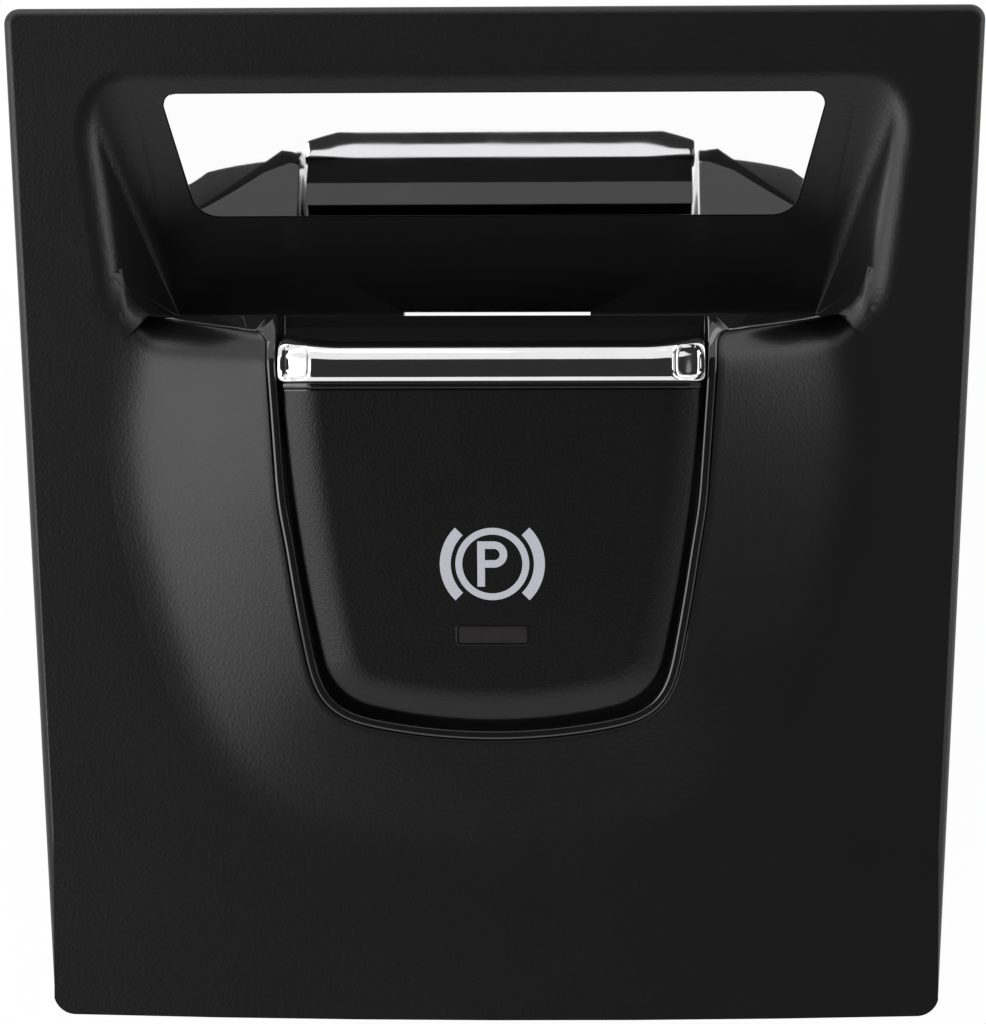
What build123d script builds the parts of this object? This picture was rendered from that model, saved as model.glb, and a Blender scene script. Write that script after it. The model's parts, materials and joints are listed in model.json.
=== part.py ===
from build123d import *
import math
import os

# Parking brake switch. X runs across the panel, Y up its face, Z out of it.
# The origin is under the middle of the rear cover, on which the unit stands.

# Panel
panel_top_width = 86.2
panel_bottom_width = 78.0
panel_length = 89.2
panel_bow = 0.5
panel_top_corner = 1.3
panel_bottom_corner = 2.0
panel_edge_radius = 0.8
panel_wall = 2.2
flange_depth = 8.0
rib_thickness = 1.2
rib_depth = 3.0

# Stack above the rear cover's back face
cover_thickness = 2.4
board_bottom = 18.0
board_thickness = 1.6
deck_top = 34.0
deck_thickness = 2.0
face_above_deck = 6.0

# Finger pocket: a wedge-shaped hollow with a sloping back wall
pocket_margin = 5.8
pocket_back_y = panel_length / 2 - pocket_margin
pocket_front_y = 17.6
pocket_back_half = 36.1
pocket_front_half = 33.0
pocket_floor_half = 29.0
pocket_floor_run = 0.5
pocket_slope = 30.0
pocket_back_corner = 3.4
pocket_front_corner = 4.0
pocket_lip_radius = 2.5
drain_slot_length = 17.0
drain_slot_width = 0.35

# Mirror plate in the sloping back wall, measured down the slope
mirror_top_gap = 1.85
mirror_drop = 12.35
mirror_top_half = 29.5
mirror_bottom_half = 26.8
mirror_top_corner = 1.3
mirror_bottom_corner = 2.6
mirror_lip = 1.1
mirror_back = 1.2
mirror_clearance = 0.05

# Mound that carries the lever
lever_tilt = 9.5
mound_foot_rise = 1.66
mound_base_half = 31.4
mound_base_foot_y = -27.6
mound_base_corner = 15.5
mound_base_mid_lean = 3.0
mound_base_low_lean = 6.9
mound_bow = 1.0
mound_rear_corner = 3.0
mound_crest_half = 23.6
mound_crest_mid_lean = 3.9
mound_crest_low_lean = 8.2
mound_crest_corner = 8.0
mound_land = 1.0
mound_rear_y = 24.0
mound_crest_radius = 6.0
shoulder_edge_rise = 4.5
shoulder_round = 3.2
mound_valley_radius = 8.0
shoulder_edge_dip = 2.8
shoulder_edge_half = 30.3

# Lever opening, and what steps inwards from it
opening_half = 19.5
opening_rear_y = 16.0
opening_foot_y = -19.7
opening_mid_lean = 1.2
opening_low_lean = 4.1
opening_bow = 2.3
opening_corner = 5.0
ring_width = 0.85
lever_gap = 0.4
lever_foot_gap = 0.65
ring_proud = 0.15
ring_seat_gap = 0.03
well_shelf_thickness = 1.2
well_shelf_front_y = 9.0

# Lever
cap_wall = 1.5
cap_depth = 3.4
cap_proud = 0.9
cap_roll = [(0, -4.3), (0, -0.65), (0.9, -0.2), (3.0, 0)]
trim_front_y = 11.7
trim_end_drop = 1.4
grip_half = 18.0
grip_inner_half = 15.5
grip_flange_y = 5.5
grip_flange_thickness = 1.5
grip_wall_y = 10.8
grip_shelf_gap = 0.1
grip_seat_y = 13.5
grip_hook = [
    (13.9, -0.65),
    (15.25, -0.65),
    (16.5, -2.45),
    (16.0, -4.05),
    (14.2, -4.75),
    (11.6, -5.45),
    (10.2, -7.45),
    (9.2, -7.45),
]
trim_section = [
    (11.72, 0.27),
    (11.72, 1.8),
    (12.12, 2.75),
    (13.1, 3.15),
    (14.75, 1.9),
    (15.25, -0.55),
    (14.0, -0.55),
    (13.6, 0.27),
]
trim_half = 18.3
trim_pad_length = 2.2
pad_rise = 0.2
lever_screw_x = 10.0
lever_screw_y = 6.9
lever_screw_radius = 0.9
lever_screw_head = 1.5
lever_screw_head_height = 1.0
carrier_plate = 2.0
carrier_clearance = 0.1
indicator_y = -10.25
indicator_length = 5.9
indicator_width = 1.4

# Pivot
pivot_y = -14.0
pivot_below_face = 1.0
pin_radius = 1.25
pin_clearance = 0.03
bush_wall = 0.7
bush_flange = 0.5
hub_radius = 2.85
hub_half = 6.4
spring_gap_half = 3.6
spring_gap_length = 8.2
cheek_thickness = 2.4
cheek_gap = 0.3
cheek_foot_spread = 0.4
cheek_radius = 2.45

# Return spring
spring_wire = 0.7
spring_wire_sides = 8
spring_coil_radius = 1.95
spring_pitch = 0.74
spring_turns = 6
spring_leg = 5.0
spring_leg_fall = 9.0
spring_foot = 7.4
spring_eye = 1.2

# Switch block
housing_half = 20.0
housing_rear_y = 14.0
housing_foot_y = -26.0
housing_wall = 1.8
housing_corner = 3.0
screw_x = 23.5
screw_rear_y = 6.0
screw_foot_y = -19.0
ear_radius = 3.4
boss_radius = 3.0
screw_radius = 1.25
screw_head_radius = 2.4
screw_head_height = 1.6
screw_bite = 4.6
screw_hole_gap = 0.02
ear_thickness = 2.6
board_screw_length = 7.0
board_gap = 0.7
post_radius = 2.6
post_x = 14.6
post_rear_y = 8.6
post_foot_y = -21.0
switch_width = 7.0
switch_height = 8.6
switch_x = 6.0
leg_thickness = 3.0
leg_width = 2.8
leg_x = 5.0
leg_slot_gap = 0.35
leg_length = 15.2
plunger_radius = 1.2
pull_plunger_length = 6.0
release_plunger_length = 5.4
plunger_stroke_room = 2.6
plunger_out = 2.6
plunger_below_pivot = 13.0
plunger_clearance = 0.06
contact_gap = 0.08
pull_switch_length = 12.8
release_switch_length = 5.3
pull_bore = 5.8
release_bore = 3.8
led_size = 2.8
led_height = 1.9
symbol_y = -3.9
symbol_pipe_radius = 1.9
indicator_pipe_radius = 0.8
pipe_rise = 1.0
pipe_gap = 0.1
guide_foot = 2.0
stop_pad_x = 11.5
stop_pad_y = 3.0
stop_foot_radius = 1.7
stop_pad_radius = 2.0
stop_pad_height = 1.8
stop_gap = 1.2
latch_width = 4.0
latch_thickness = 1.0
latch_height = 7.0
latch_nib = 0.6
latch_relief = 2.4
latch_y = 9.0

# Connector
socket_half = 10.6
socket_wall = 1.4
socket_height = 9.6
socket_depth = 9.0
socket_out = 5.5
socket_pitch = 2.54
socket_pins = 6
socket_pin_width = 0.64
pin_tail_y = -16.9
pin_tail_rise = 0.6
pin_front_gap = 2.5

# Fixing to the console
peg_radius = 2.0
peg_length = 12.0
peg_x = 33.5
peg_y = -36.5
peg_collar = 1.2
peg_tip = 0.5
clip_rear_x = 33.5
clip_rear_y = 30.0
clip_foot_x = 22.0
clip_foot_y = -38.2
tower_width = 8.0
tower_thickness = 3.0
tower_length = 12.0
tower_root = 1.0
clip_width = 7.0
clip_strip = 0.5
clip_barb = 2.6
clip_tail_gap = 2.5

os.makedirs("parts", exist_ok=True)
face_height = deck_top + face_above_deck
board_top = board_bottom + board_thickness
slope_tan = math.tan(math.radians(pocket_slope))
tilt_tan = math.tan(math.radians(lever_tilt))
pocket_depth = (pocket_back_y - pocket_front_y - pocket_floor_run) * slope_tan


def finish(piece, name):
    """Label one finished piece and write it."""
    piece.part.label = name
    export_step(piece.part, f"parts/{name}.step")


def crest_plane(lift=0.0):
    """The sloping plane of the mound's crest, lifted along its own normal."""
    angle = math.radians(lever_tilt)
    normal = Vector(0, -math.sin(angle), math.cos(angle))
    middle = Vector(0, 0, face_height + mound_foot_rise - opening_foot_y * tilt_tan)
    return Plane(origin=middle + normal * lift, x_dir=(1, 0, 0), z_dir=normal)


def crest_height(y, lift=0.0):
    """Height of the crest plane, lifted by so much, at one place up the face."""
    rise = mound_foot_rise + (y - opening_foot_y) * tilt_tan
    return face_height + rise + lift / math.cos(math.radians(lever_tilt))


def above_shelf(points):
    """Places in the lever's section, given above the shelf under the chrome."""
    return [(y, grip_shelf + rise) for y, rise in points]


pivot_z = crest_height(opening_foot_y) - mound_foot_rise - pivot_below_face
grip_shelf = crest_height(grip_wall_y, cap_proud - cap_wall) - grip_shelf_gap
back_wall = Plane(
    origin=(0, pocket_back_y, face_height),
    x_dir=(1, 0, 0),
    z_dir=(0, -math.sin(math.radians(pocket_slope)), math.cos(math.radians(pocket_slope))),
)


def panel_outline(height, inset):
    """The panel's plan: wider at the top, with a slightly bowed bottom edge."""
    end_y = panel_length / 2
    top_half = panel_top_width / 2
    bottom_half = panel_bottom_width / 2
    with BuildSketch(Plane.XY.offset(height)) as plan:
        with BuildLine():
            Line((-top_half, end_y), (top_half, end_y))
            Line((top_half, end_y), (bottom_half, panel_bow - end_y))
            ThreePointArc((bottom_half, panel_bow - end_y), (0, -end_y), (-bottom_half, panel_bow - end_y))
            Line((-bottom_half, panel_bow - end_y), (-top_half, end_y))
        make_face()
        fillet(plan.vertices().group_by(Axis.Y)[-1], panel_top_corner)
        fillet(plan.vertices().group_by(Axis.Y)[0], panel_bottom_corner)
        if inset:
            offset(amount=-inset, kind=Kind.INTERSECTION, mode=Mode.REPLACE)
    return plan.sketch


def tongue_outline(plane, half, rear_y, foot_y, mid_lean, low_lean, bow, corner, rear_corner=0.0):
    """The tongue-shaped plan of lever and mound: leaning sides and a round foot."""
    low_y = foot_y + bow
    mid_y = (rear_y + low_y) / 2
    low_half = half - low_lean
    with BuildSketch(plane) as plan:
        with BuildLine():
            Line((-half, rear_y), (half, rear_y))
            ThreePointArc((half, rear_y), (half - mid_lean, mid_y), (low_half, low_y))
            ThreePointArc((low_half, low_y), (0, foot_y), (-low_half, low_y))
            ThreePointArc((-low_half, low_y), (mid_lean - half, mid_y), (-half, rear_y))
        make_face()
        fillet(plan.vertices().group_by(Axis.Y)[0], corner)
        if rear_corner:
            fillet(plan.vertices().group_by(Axis.Y)[-1], rear_corner)
    return plan.sketch


def opening_outline(plane, step, foot_step=0.0, corner_step=0.0):
    """The lever opening's plan, stepped inwards, with more room at its foot."""
    return tongue_outline(
        plane,
        opening_half - step,
        opening_rear_y,
        opening_foot_y + step + foot_step,
        opening_mid_lean,
        opening_low_lean,
        opening_bow,
        opening_corner + corner_step,
    )


def pocket_outline(height, back_y, back_half, front_half, front_y, back_corner, front_corner):
    """A level slice of the pocket: a trapezoid with round corners."""
    with BuildSketch(Plane.XY.offset(height)) as plan:
        with BuildLine():
            Polyline(
                (-back_half, back_y),
                (back_half, back_y),
                (front_half, front_y),
                (-front_half, front_y),
                close=True,
            )
        make_face()
        fillet(plan.vertices().group_by(Axis.Y)[-1], back_corner)
        fillet(plan.vertices().group_by(Axis.Y)[0], front_corner)
    return plan.sketch


def pocket_wedge(wall):
    """The pocket's hollow, or the block round it that leaves this wall."""
    down = pocket_depth + wall / math.cos(math.radians(pocket_slope))
    front_y = pocket_front_y - wall
    back_y = pocket_back_y + wall / math.sin(math.radians(pocket_slope))
    floor_y = back_y - down / slope_tan
    top_halves = (pocket_back_half + wall, pocket_front_half + wall)
    floor_half = pocket_floor_half + wall
    floor_corner = pocket_floor_run / 3
    with BuildPart() as wedge:
        add(
            pocket_outline(
                face_height,
                back_y,
                *top_halves,
                front_y,
                pocket_back_corner,
                pocket_front_corner,
            )
        )
        add(
            pocket_outline(
                face_height - down,
                floor_y,
                floor_half,
                floor_half,
                front_y,
                floor_corner,
                floor_corner,
            )
        )
        loft(ruled=True)
    return wedge.part


def mound_form(inset, sink, drop):
    """The swelling round the lever, from its foot outline up to the crest plane."""
    with BuildPart() as form:
        add(
            tongue_outline(
                Plane.XY.offset(face_height - sink),
                mound_base_half - inset,
                mound_rear_y,
                mound_base_foot_y + inset,
                mound_base_mid_lean,
                mound_base_low_lean,
                mound_bow,
                mound_base_corner,
            )
        )
        add(
            tongue_outline(
                crest_plane(-drop),
                mound_crest_half - inset,
                mound_rear_y,
                opening_foot_y - mound_land + inset,
                mound_crest_mid_lean,
                mound_crest_low_lean,
                mound_bow,
                mound_crest_corner,
            )
        )
        loft(ruled=True)
    return form.part


def shoulder_edge_plan():
    """Plan of all that lies in front of the shoulders' rear edge."""
    edge_y = pocket_front_y
    with BuildSketch(Plane.XY.offset(face_height - flange_depth)) as plan:
        with BuildLine():
            Polyline(
                (-shoulder_edge_half, edge_y),
                (-shoulder_edge_half - mound_rear_corner, edge_y - mound_rear_corner),
                (-panel_bottom_width / 2, edge_y - mound_rear_corner),
                (-panel_bottom_width / 2, -panel_length / 2),
                (panel_bottom_width / 2, -panel_length / 2),
                (panel_bottom_width / 2, edge_y - mound_rear_corner),
                (shoulder_edge_half + mound_rear_corner, edge_y - mound_rear_corner),
                (shoulder_edge_half, edge_y),
            )
            ThreePointArc(
                (shoulder_edge_half, edge_y),
                (0, edge_y - shoulder_edge_dip),
                (-shoulder_edge_half, edge_y),
            )
        make_face()
    return plan.sketch


# Outer skin: plate, finger pocket with its rounded lip, and the mound
with BuildPart() as lipped_plate:
    add(panel_outline(face_height - flange_depth, 0))
    extrude(amount=flange_depth)
    fillet(lipped_plate.faces().sort_by(Axis.Z)[-1].edges(), panel_edge_radius)
    add(pocket_wedge(panel_wall))
    add(pocket_wedge(0), mode=Mode.SUBTRACT)
    face = lipped_plate.faces().filter_by(Plane.XY).sort_by(Axis.Z)[-1]
    fillet(face.inner_wires()[0].edges(), pocket_lip_radius)

with BuildPart() as swollen_plate:
    add(panel_outline(face_height - flange_depth, 0))
    extrude(amount=flange_depth)
    add(mound_form(0, 0.5, 0))
    crest = crest_plane()
    crest_edges = swollen_plate.edges().filter_by(
        lambda edge: abs((edge.center() - crest.origin).dot(crest.z_dir)) < 0.05
        and edge.center().Y < mound_rear_y - 1
    )
    fillet(crest_edges, mound_crest_radius)
    foot_edges = swollen_plate.edges().filter_by(
        lambda edge: abs(edge.bounding_box().min.Z - face_height) < 0.01
        and abs(edge.bounding_box().max.Z - face_height) < 0.01
        and abs(edge.center().X) < mound_base_half
        and edge.bounding_box().max.Y < mound_rear_y + 0.1
        and edge.center().Y > panel_bow - panel_length / 2 + 1
        and edge.center().Y < mound_rear_y - 1
    )
    fillet(foot_edges, mound_valley_radius)

rim_height = face_height - flange_depth
rim_depth = rim_height - tower_length
shoulder_front_y = pocket_front_y - shoulder_edge_dip
rear_clip_places = [
    Location((clip_rear_x, clip_rear_y, rim_depth), (0, 0, 0)),
    Location((-clip_rear_x, clip_rear_y, rim_depth), (0, 0, 180)),
]
foot_clip_places = [
    Location((clip_foot_x, clip_foot_y, rim_depth), (0, 0, -90)),
    Location((-clip_foot_x, clip_foot_y, rim_depth), (0, 0, -90)),
]
screw_places = [
    (screw_x, screw_rear_y),
    (-screw_x, screw_rear_y),
    (screw_x, screw_foot_y),
    (-screw_x, screw_foot_y),
]


def crest_rounding(lift):
    """All that lies above the shoulders where they roll over towards the pocket."""
    start_y = shoulder_front_y - shoulder_round
    start_z = crest_height(start_y, lift)
    end_z = face_height + shoulder_edge_rise - panel_edge_radius * 4 + lift
    above_z = start_z + flange_depth
    with BuildPart() as cutter:
        with BuildSketch(Plane.YZ):
            with BuildLine():
                rounding = Spline(
                    (start_y, start_z),
                    (pocket_front_y, end_z),
                    tangents=((1, tilt_tan), (0.25, -1)),
                )
                Polyline(
                    rounding @ 1,
                    (pocket_front_y + 1, end_z),
                    (pocket_front_y + 1, above_z),
                    (start_y, above_z),
                    rounding @ 0,
                )
            make_face()
        extrude(amount=mound_base_half + mound_valley_radius, both=True)
    return cutter.part


with BuildPart() as trimmed_mound:
    add(shoulder_edge_plan())
    extrude(amount=flange_depth * 3)
    add(swollen_plate.part, mode=Mode.INTERSECT)
    add(crest_rounding(0), mode=Mode.SUBTRACT)

# What is hollow behind the skin, with islands for bosses and ribs
with BuildPart() as hollow:
    add(panel_outline(rim_height - 1, panel_wall))
    extrude(amount=flange_depth + 1 - panel_wall)
    add(mound_form(panel_wall * 1.5, panel_wall + 0.5, panel_wall))
    with BuildSketch(Plane.XY.offset(face_height - panel_wall)):
        with Locations((0, shoulder_front_y - panel_wall + panel_length / 2)):
            Rectangle(panel_top_width, panel_length)
    extrude(amount=flange_depth * 3, mode=Mode.SUBTRACT)
    add(pocket_wedge(panel_wall), mode=Mode.SUBTRACT)
    with BuildSketch(Plane.XY.offset(deck_top)):
        with Locations(*screw_places):
            Circle(boss_radius)
    extrude(amount=flange_depth * 3, mode=Mode.SUBTRACT)
    with BuildSketch(Plane.XY.offset(face_height - panel_wall - rib_depth)):
        with GridLocations(screw_x * 0.75, 0, 3, 1):
            with Locations((0, -panel_length / 2 + panel_wall)):
                Rectangle(rib_thickness, 2 * (opening_foot_y - mound_base_foot_y) + flange_depth)
    extrude(amount=rib_depth, mode=Mode.SUBTRACT)


def mirror_outline(lift, grow):
    """The mirror's plan on the pocket's back wall, lifted off it and grown all round."""
    top = grow - mirror_top_gap
    bottom = -mirror_top_gap - mirror_drop - grow
    top_half = mirror_top_half + grow
    bottom_half = mirror_bottom_half + grow
    with BuildSketch(back_wall.offset(lift)) as plan:
        with BuildLine():
            Polyline(
                (-top_half, top),
                (top_half, top),
                (bottom_half, bottom),
                (-bottom_half, bottom),
                close=True,
            )
        make_face()
        fillet(plan.vertices().group_by(Axis.Y)[-1], mirror_top_corner + grow)
        fillet(plan.vertices().group_by(Axis.Y)[0], mirror_bottom_corner + grow)
    return plan.sketch


with BuildPart() as fascia_panel:
    add(lipped_plate.part)
    add(trimmed_mound.part)
    add(hollow.part, mode=Mode.SUBTRACT)
    # Towers for the clips stand below the rim
    with Locations(*rear_clip_places):
        Box(
            tower_thickness,
            tower_width,
            tower_length + tower_root,
            align=(Align.CENTER, Align.CENTER, Align.MIN),
        )
    with Locations(*foot_clip_places):
        Box(
            tower_thickness,
            tower_width,
            tower_length + flange_depth - panel_wall / 2,
            align=(Align.CENTER, Align.CENTER, Align.MIN),
        )
    with BuildSketch(Plane.XY.offset(rim_height)):
        with GridLocations(2 * peg_x, 0, 2, 1):
            with Locations((0, peg_y)):
                Circle(peg_radius + peg_collar)
    extrude(amount=flange_depth - panel_wall / 2)
    with BuildSketch(Plane.XY.offset(rim_height - peg_length)):
        with GridLocations(2 * peg_x, 0, 2, 1):
            with Locations((0, peg_y)):
                Circle(peg_radius)
    extrude(amount=peg_length + 1)
    add(opening_outline(Plane.XY.offset(deck_top), 0))
    extrude(amount=flange_depth * 3, mode=Mode.SUBTRACT)
    with BuildSketch(Plane.XY.offset(deck_top)):
        with Locations((0, opening_rear_y)):
            Rectangle(2 * opening_half, 2 * (pocket_front_y - opening_rear_y) + 1)
    extrude(amount=flange_depth * 3, mode=Mode.SUBTRACT)
    add(mirror_outline(panel_wall, 0))
    extrude(amount=-3 * panel_wall, dir=back_wall.z_dir, mode=Mode.SUBTRACT)
    with BuildSketch(Plane.XY.offset(rim_depth)):
        with Locations((0, pocket_front_y + drain_slot_width)):
            Rectangle(drain_slot_length, drain_slot_width)
    extrude(amount=flange_depth * 2, mode=Mode.SUBTRACT)
    with BuildSketch(Plane.XY.offset(deck_top)):
        with Locations(*screw_places):
            Circle(screw_radius + screw_hole_gap)
    extrude(amount=screw_bite + 0.4, mode=Mode.SUBTRACT)
finish(fascia_panel, "fascia_panel")


# Gloss surround: a ring that lines the lever opening, a shelf under the
# fingertips and the two wings that close the shoulders towards the pocket
ring_inner_step = ring_width + ring_seat_gap
lever_step = ring_inner_step + lever_gap
wing_top = face_height + shoulder_edge_rise - ring_proud
with BuildPart() as inner_bezel:
    add(opening_outline(Plane.XY.offset(deck_top), ring_seat_gap))
    extrude(amount=flange_depth * 3)
    with BuildSketch(Plane.XY.offset(deck_top)):
        with Locations((0, opening_rear_y)):
            Rectangle(
                2 * (opening_half - ring_seat_gap),
                2 * (pocket_front_y - opening_rear_y),
            )
    extrude(amount=flange_depth * 3)
    add(opening_outline(Plane.XY.offset(deck_top), ring_inner_step, -lever_gap / 2, 0.2))
    extrude(amount=flange_depth * 3, mode=Mode.SUBTRACT)
    with BuildSketch(Plane.XY.offset(deck_top)):
        with Locations((0, opening_rear_y)):
            Rectangle(
                2 * (opening_half - ring_inner_step),
                2 * (pocket_front_y - opening_rear_y) + 1,
            )
    extrude(amount=flange_depth * 3, mode=Mode.SUBTRACT)
    split(bisect_by=crest_plane(ring_proud), keep=Keep.BOTTOM)
    add(crest_rounding(ring_proud), mode=Mode.SUBTRACT)
    # Wings behind the shoulders' rear edge
    with BuildSketch(Plane.XY.offset(rim_height)):
        with BuildLine():
            ThreePointArc(
                (-shoulder_edge_half, pocket_front_y),
                (0, shoulder_front_y),
                (shoulder_edge_half, pocket_front_y),
            )
            Line((shoulder_edge_half, pocket_front_y), (-shoulder_edge_half, pocket_front_y))
        make_face()
        with Locations((0, shoulder_front_y)):
            Rectangle(
                2 * (opening_half - ring_inner_step),
                3 * shoulder_edge_dip,
                mode=Mode.SUBTRACT,
            )
    extrude(amount=wing_top - rim_height)
    with BuildSketch(Plane.XZ.offset(-pocket_front_y)):
        with BuildLine():
            Polyline(
                (-opening_half, wing_top),
                (-shoulder_edge_half, face_height + 1),
                (-shoulder_edge_half, wing_top + flange_depth * 2),
                (shoulder_edge_half, wing_top + flange_depth * 2),
                (shoulder_edge_half, face_height + 1),
                (opening_half, wing_top),
                close=True,
            )
        make_face()
    extrude(amount=3 * shoulder_edge_dip, mode=Mode.SUBTRACT)
    add(fascia_panel.part, mode=Mode.SUBTRACT)
    # Shelf under the fingertips
    with BuildSketch(Plane.XY.offset(deck_top)):
        with BuildLine():
            shelf_half = opening_half - ring_inner_step
            Polyline(
                (-shelf_half, well_shelf_front_y),
                (shelf_half, well_shelf_front_y),
                (shelf_half, pocket_front_y),
                (-shelf_half, pocket_front_y),
                close=True,
            )
        make_face()
    extrude(amount=well_shelf_thickness)
finish(inner_bezel, "inner_bezel")

with BuildPart() as pocket_mirror:
    add(mirror_outline(-mirror_clearance, -mirror_clearance))
    extrude(amount=mirror_clearance - panel_wall, dir=back_wall.z_dir)
    add(mirror_outline(-panel_wall, mirror_lip))
    extrude(amount=-mirror_back, dir=back_wall.z_dir)
finish(pocket_mirror, "pocket_mirror")

# Switch block behind the lever
housing_mid_y = (housing_rear_y + housing_foot_y) / 2
housing_length = housing_rear_y - housing_foot_y
cheek_inner = hub_half + bush_flange + cheek_gap
leg_face_y = leg_thickness / 2
leg_swing = plunger_out
plunger_z = pivot_z - plunger_below_pivot
pull_tip_y = pivot_y + leg_face_y + contact_gap
release_tip_y = pivot_y - leg_face_y - contact_gap
socket_bottom = board_bottom - socket_height
socket_mouth_y = housing_foot_y - socket_out
socket_end_y = pin_tail_y + 1.0
spring_length = spring_pitch * (spring_turns + (90 + spring_leg_fall) / 360)
spring_lead = spring_pitch / (2 * math.pi * spring_coil_radius)
spring_foot_x = -spring_length / 2 - spring_lead * (pivot_z - deck_top + deck_thickness / 2)


def housing_outline(height, inset):
    """The switch block's square plan, stepped inwards."""
    with BuildSketch(Plane.XY.offset(height)) as plan:
        with Locations((0, housing_mid_y)):
            RectangleRounded(
                2 * (housing_half - inset),
                housing_length - 2 * inset,
                max(housing_corner - inset, 0.8),
            )
    return plan.sketch


def latch_row(height, width, rise):
    """One slab for each snap latch, on the two long sides."""
    with BuildSketch(Plane.XY.offset(height)) as plan:
        with Locations((0, housing_mid_y)):
            with GridLocations(2 * (housing_half - housing_wall), 2 * latch_y, 2, 2):
                Rectangle(2 * rise, width)
    return plan.sketch


with BuildPart() as switch_housing:
    add(housing_outline(cover_thickness, 0))
    extrude(amount=deck_top - cover_thickness)
    with BuildSketch(Plane.XY.offset(deck_top - ear_thickness)):
        with Locations(*screw_places):
            Circle(ear_radius)
        with Locations((0, screw_rear_y), (0, screw_foot_y)):
            Rectangle(2 * screw_x, 2 * ear_radius)
    extrude(amount=ear_thickness)
    add(housing_outline(cover_thickness, housing_wall))
    extrude(amount=deck_top - deck_thickness - cover_thickness, mode=Mode.SUBTRACT)
    with BuildSketch(Plane.XY.offset(deck_top - ear_thickness)):
        with Locations(*screw_places):
            Circle(screw_radius + pipe_gap)
    extrude(amount=ear_thickness, mode=Mode.SUBTRACT)
    # Cheeks that hold the pivot pin
    with BuildSketch(Plane.YZ.offset(-cheek_inner - cheek_thickness)):
        with Locations((pivot_y, pivot_z)):
            Circle(cheek_radius)
        with BuildLine():
            Polyline(
                (pivot_y - cheek_radius, pivot_z),
                (pivot_y - cheek_radius - cheek_foot_spread, deck_top),
                (pivot_y + cheek_radius + cheek_foot_spread, deck_top),
                (pivot_y + cheek_radius, pivot_z),
                close=True,
            )
        make_face()
    extrude(amount=cheek_thickness)
    mirror(about=Plane.YZ)
    with BuildSketch(Plane.YZ):
        with Locations((pivot_y, pivot_z)):
            Circle(pin_radius)
    extrude(amount=housing_half, both=True, mode=Mode.SUBTRACT)
    # Slots for the lever's two legs, and holes for the light pipes
    with BuildSketch(Plane.XY.offset(deck_top)):
        with Locations((0, pivot_y + leg_swing / 4)):
            with GridLocations(2 * leg_x, 0, 2, 1):
                Rectangle(leg_width + 2 * leg_slot_gap, leg_thickness + 2 * leg_swing)
        with Locations((spring_foot_x, pivot_y - spring_coil_radius)):
            Circle(spring_wire / 2 + pipe_gap)
        with Locations((0, symbol_y)):
            Circle(symbol_pipe_radius + pipe_gap)
        with Locations((0, indicator_y)):
            Circle(indicator_pipe_radius + pipe_gap)
    extrude(amount=-deck_thickness, mode=Mode.SUBTRACT)
    # Window for the connector, and windows that the cover's latches snap into
    with BuildSketch(Plane.XZ.offset(-housing_foot_y)):
        with Locations((0, socket_bottom + socket_height / 2)):
            Rectangle(2 * (socket_half + pipe_gap), socket_height + 2 * pipe_gap)
    extrude(amount=-2 * housing_wall, mode=Mode.SUBTRACT)
    add(latch_row(cover_thickness + latch_height - 2, latch_width + 0.6, latch_nib + 0.3))
    extrude(amount=2, mode=Mode.SUBTRACT)
finish(switch_housing, "switch_housing")

board_half = housing_half - housing_wall - board_gap
post_places = [
    (post_x, post_rear_y),
    (-post_x, post_rear_y),
    (post_x, post_foot_y),
    (-post_x, post_foot_y),
]
latch_x = housing_half - housing_wall - pipe_gap
with BuildPart() as rear_cover:
    add(housing_outline(0, 0))
    extrude(amount=cover_thickness)
    chamfer(rear_cover.faces().sort_by(Axis.Z)[0].edges(), 0.5)
    with BuildSketch(Plane.XY.offset(cover_thickness)):
        with Locations(*post_places):
            Circle(post_radius)
        with Locations((0, housing_mid_y)):
            with GridLocations(2 * latch_x - latch_thickness, 2 * latch_y, 2, 2):
                Rectangle(latch_thickness, latch_width)
    extrude(amount=latch_height)
    with BuildSketch(Plane.XY.offset(cover_thickness)):
        with Locations(*post_places):
            Circle(post_radius)
    extrude(amount=board_bottom - cover_thickness)
    with BuildSketch(Plane.XZ.offset(-housing_mid_y)):
        with BuildLine():
            top = cover_thickness + latch_height
            Polyline(
                (latch_x, top - 0.2),
                (latch_x + latch_nib, top - 1.6),
                (latch_x, top - 1.6),
                close=True,
            )
        make_face()
        mirror(about=Plane.YZ)
    extrude(amount=latch_y + latch_width / 2, both=True)
    with BuildSketch(Plane.XY.offset(cover_thickness)):
        with Locations((0, housing_mid_y)):
            with GridLocations(2 * latch_x + 1, 0, 2, 1):
                Rectangle(latch_relief, 2 * latch_y - latch_width)
    extrude(amount=latch_height, mode=Mode.SUBTRACT)
    with BuildSketch(Plane.XY.offset(board_bottom)):
        with Locations(*post_places):
            Circle(screw_radius + screw_hole_gap)
    extrude(amount=board_thickness - board_screw_length - 1, mode=Mode.SUBTRACT)
finish(rear_cover, "rear_cover")

with BuildPart() as circuit_board:
    with BuildSketch(Plane.XY.offset(board_bottom)):
        with Locations((0, housing_mid_y)):
            RectangleRounded(2 * board_half, 2 * board_half, 1)
        with Locations(*post_places):
            Circle(screw_radius + pipe_gap, mode=Mode.SUBTRACT)
        with Locations((0, pin_tail_y)):
            with GridLocations(socket_pitch, 0, socket_pins, 1):
                Circle(0.5, mode=Mode.SUBTRACT)
    extrude(amount=board_thickness)
finish(circuit_board, "circuit_board")

with BuildPart() as board_screws:
    with BuildSketch(Plane.XY.offset(board_top)):
        with Locations(*post_places):
            Circle(screw_head_radius - 0.2)
    extrude(amount=screw_head_height - 0.4)
    with BuildSketch(Plane.XY.offset(board_top - board_screw_length)):
        with Locations(*post_places):
            Circle(screw_radius)
    extrude(amount=board_screw_length)
finish(board_screws, "board_screws")

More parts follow.
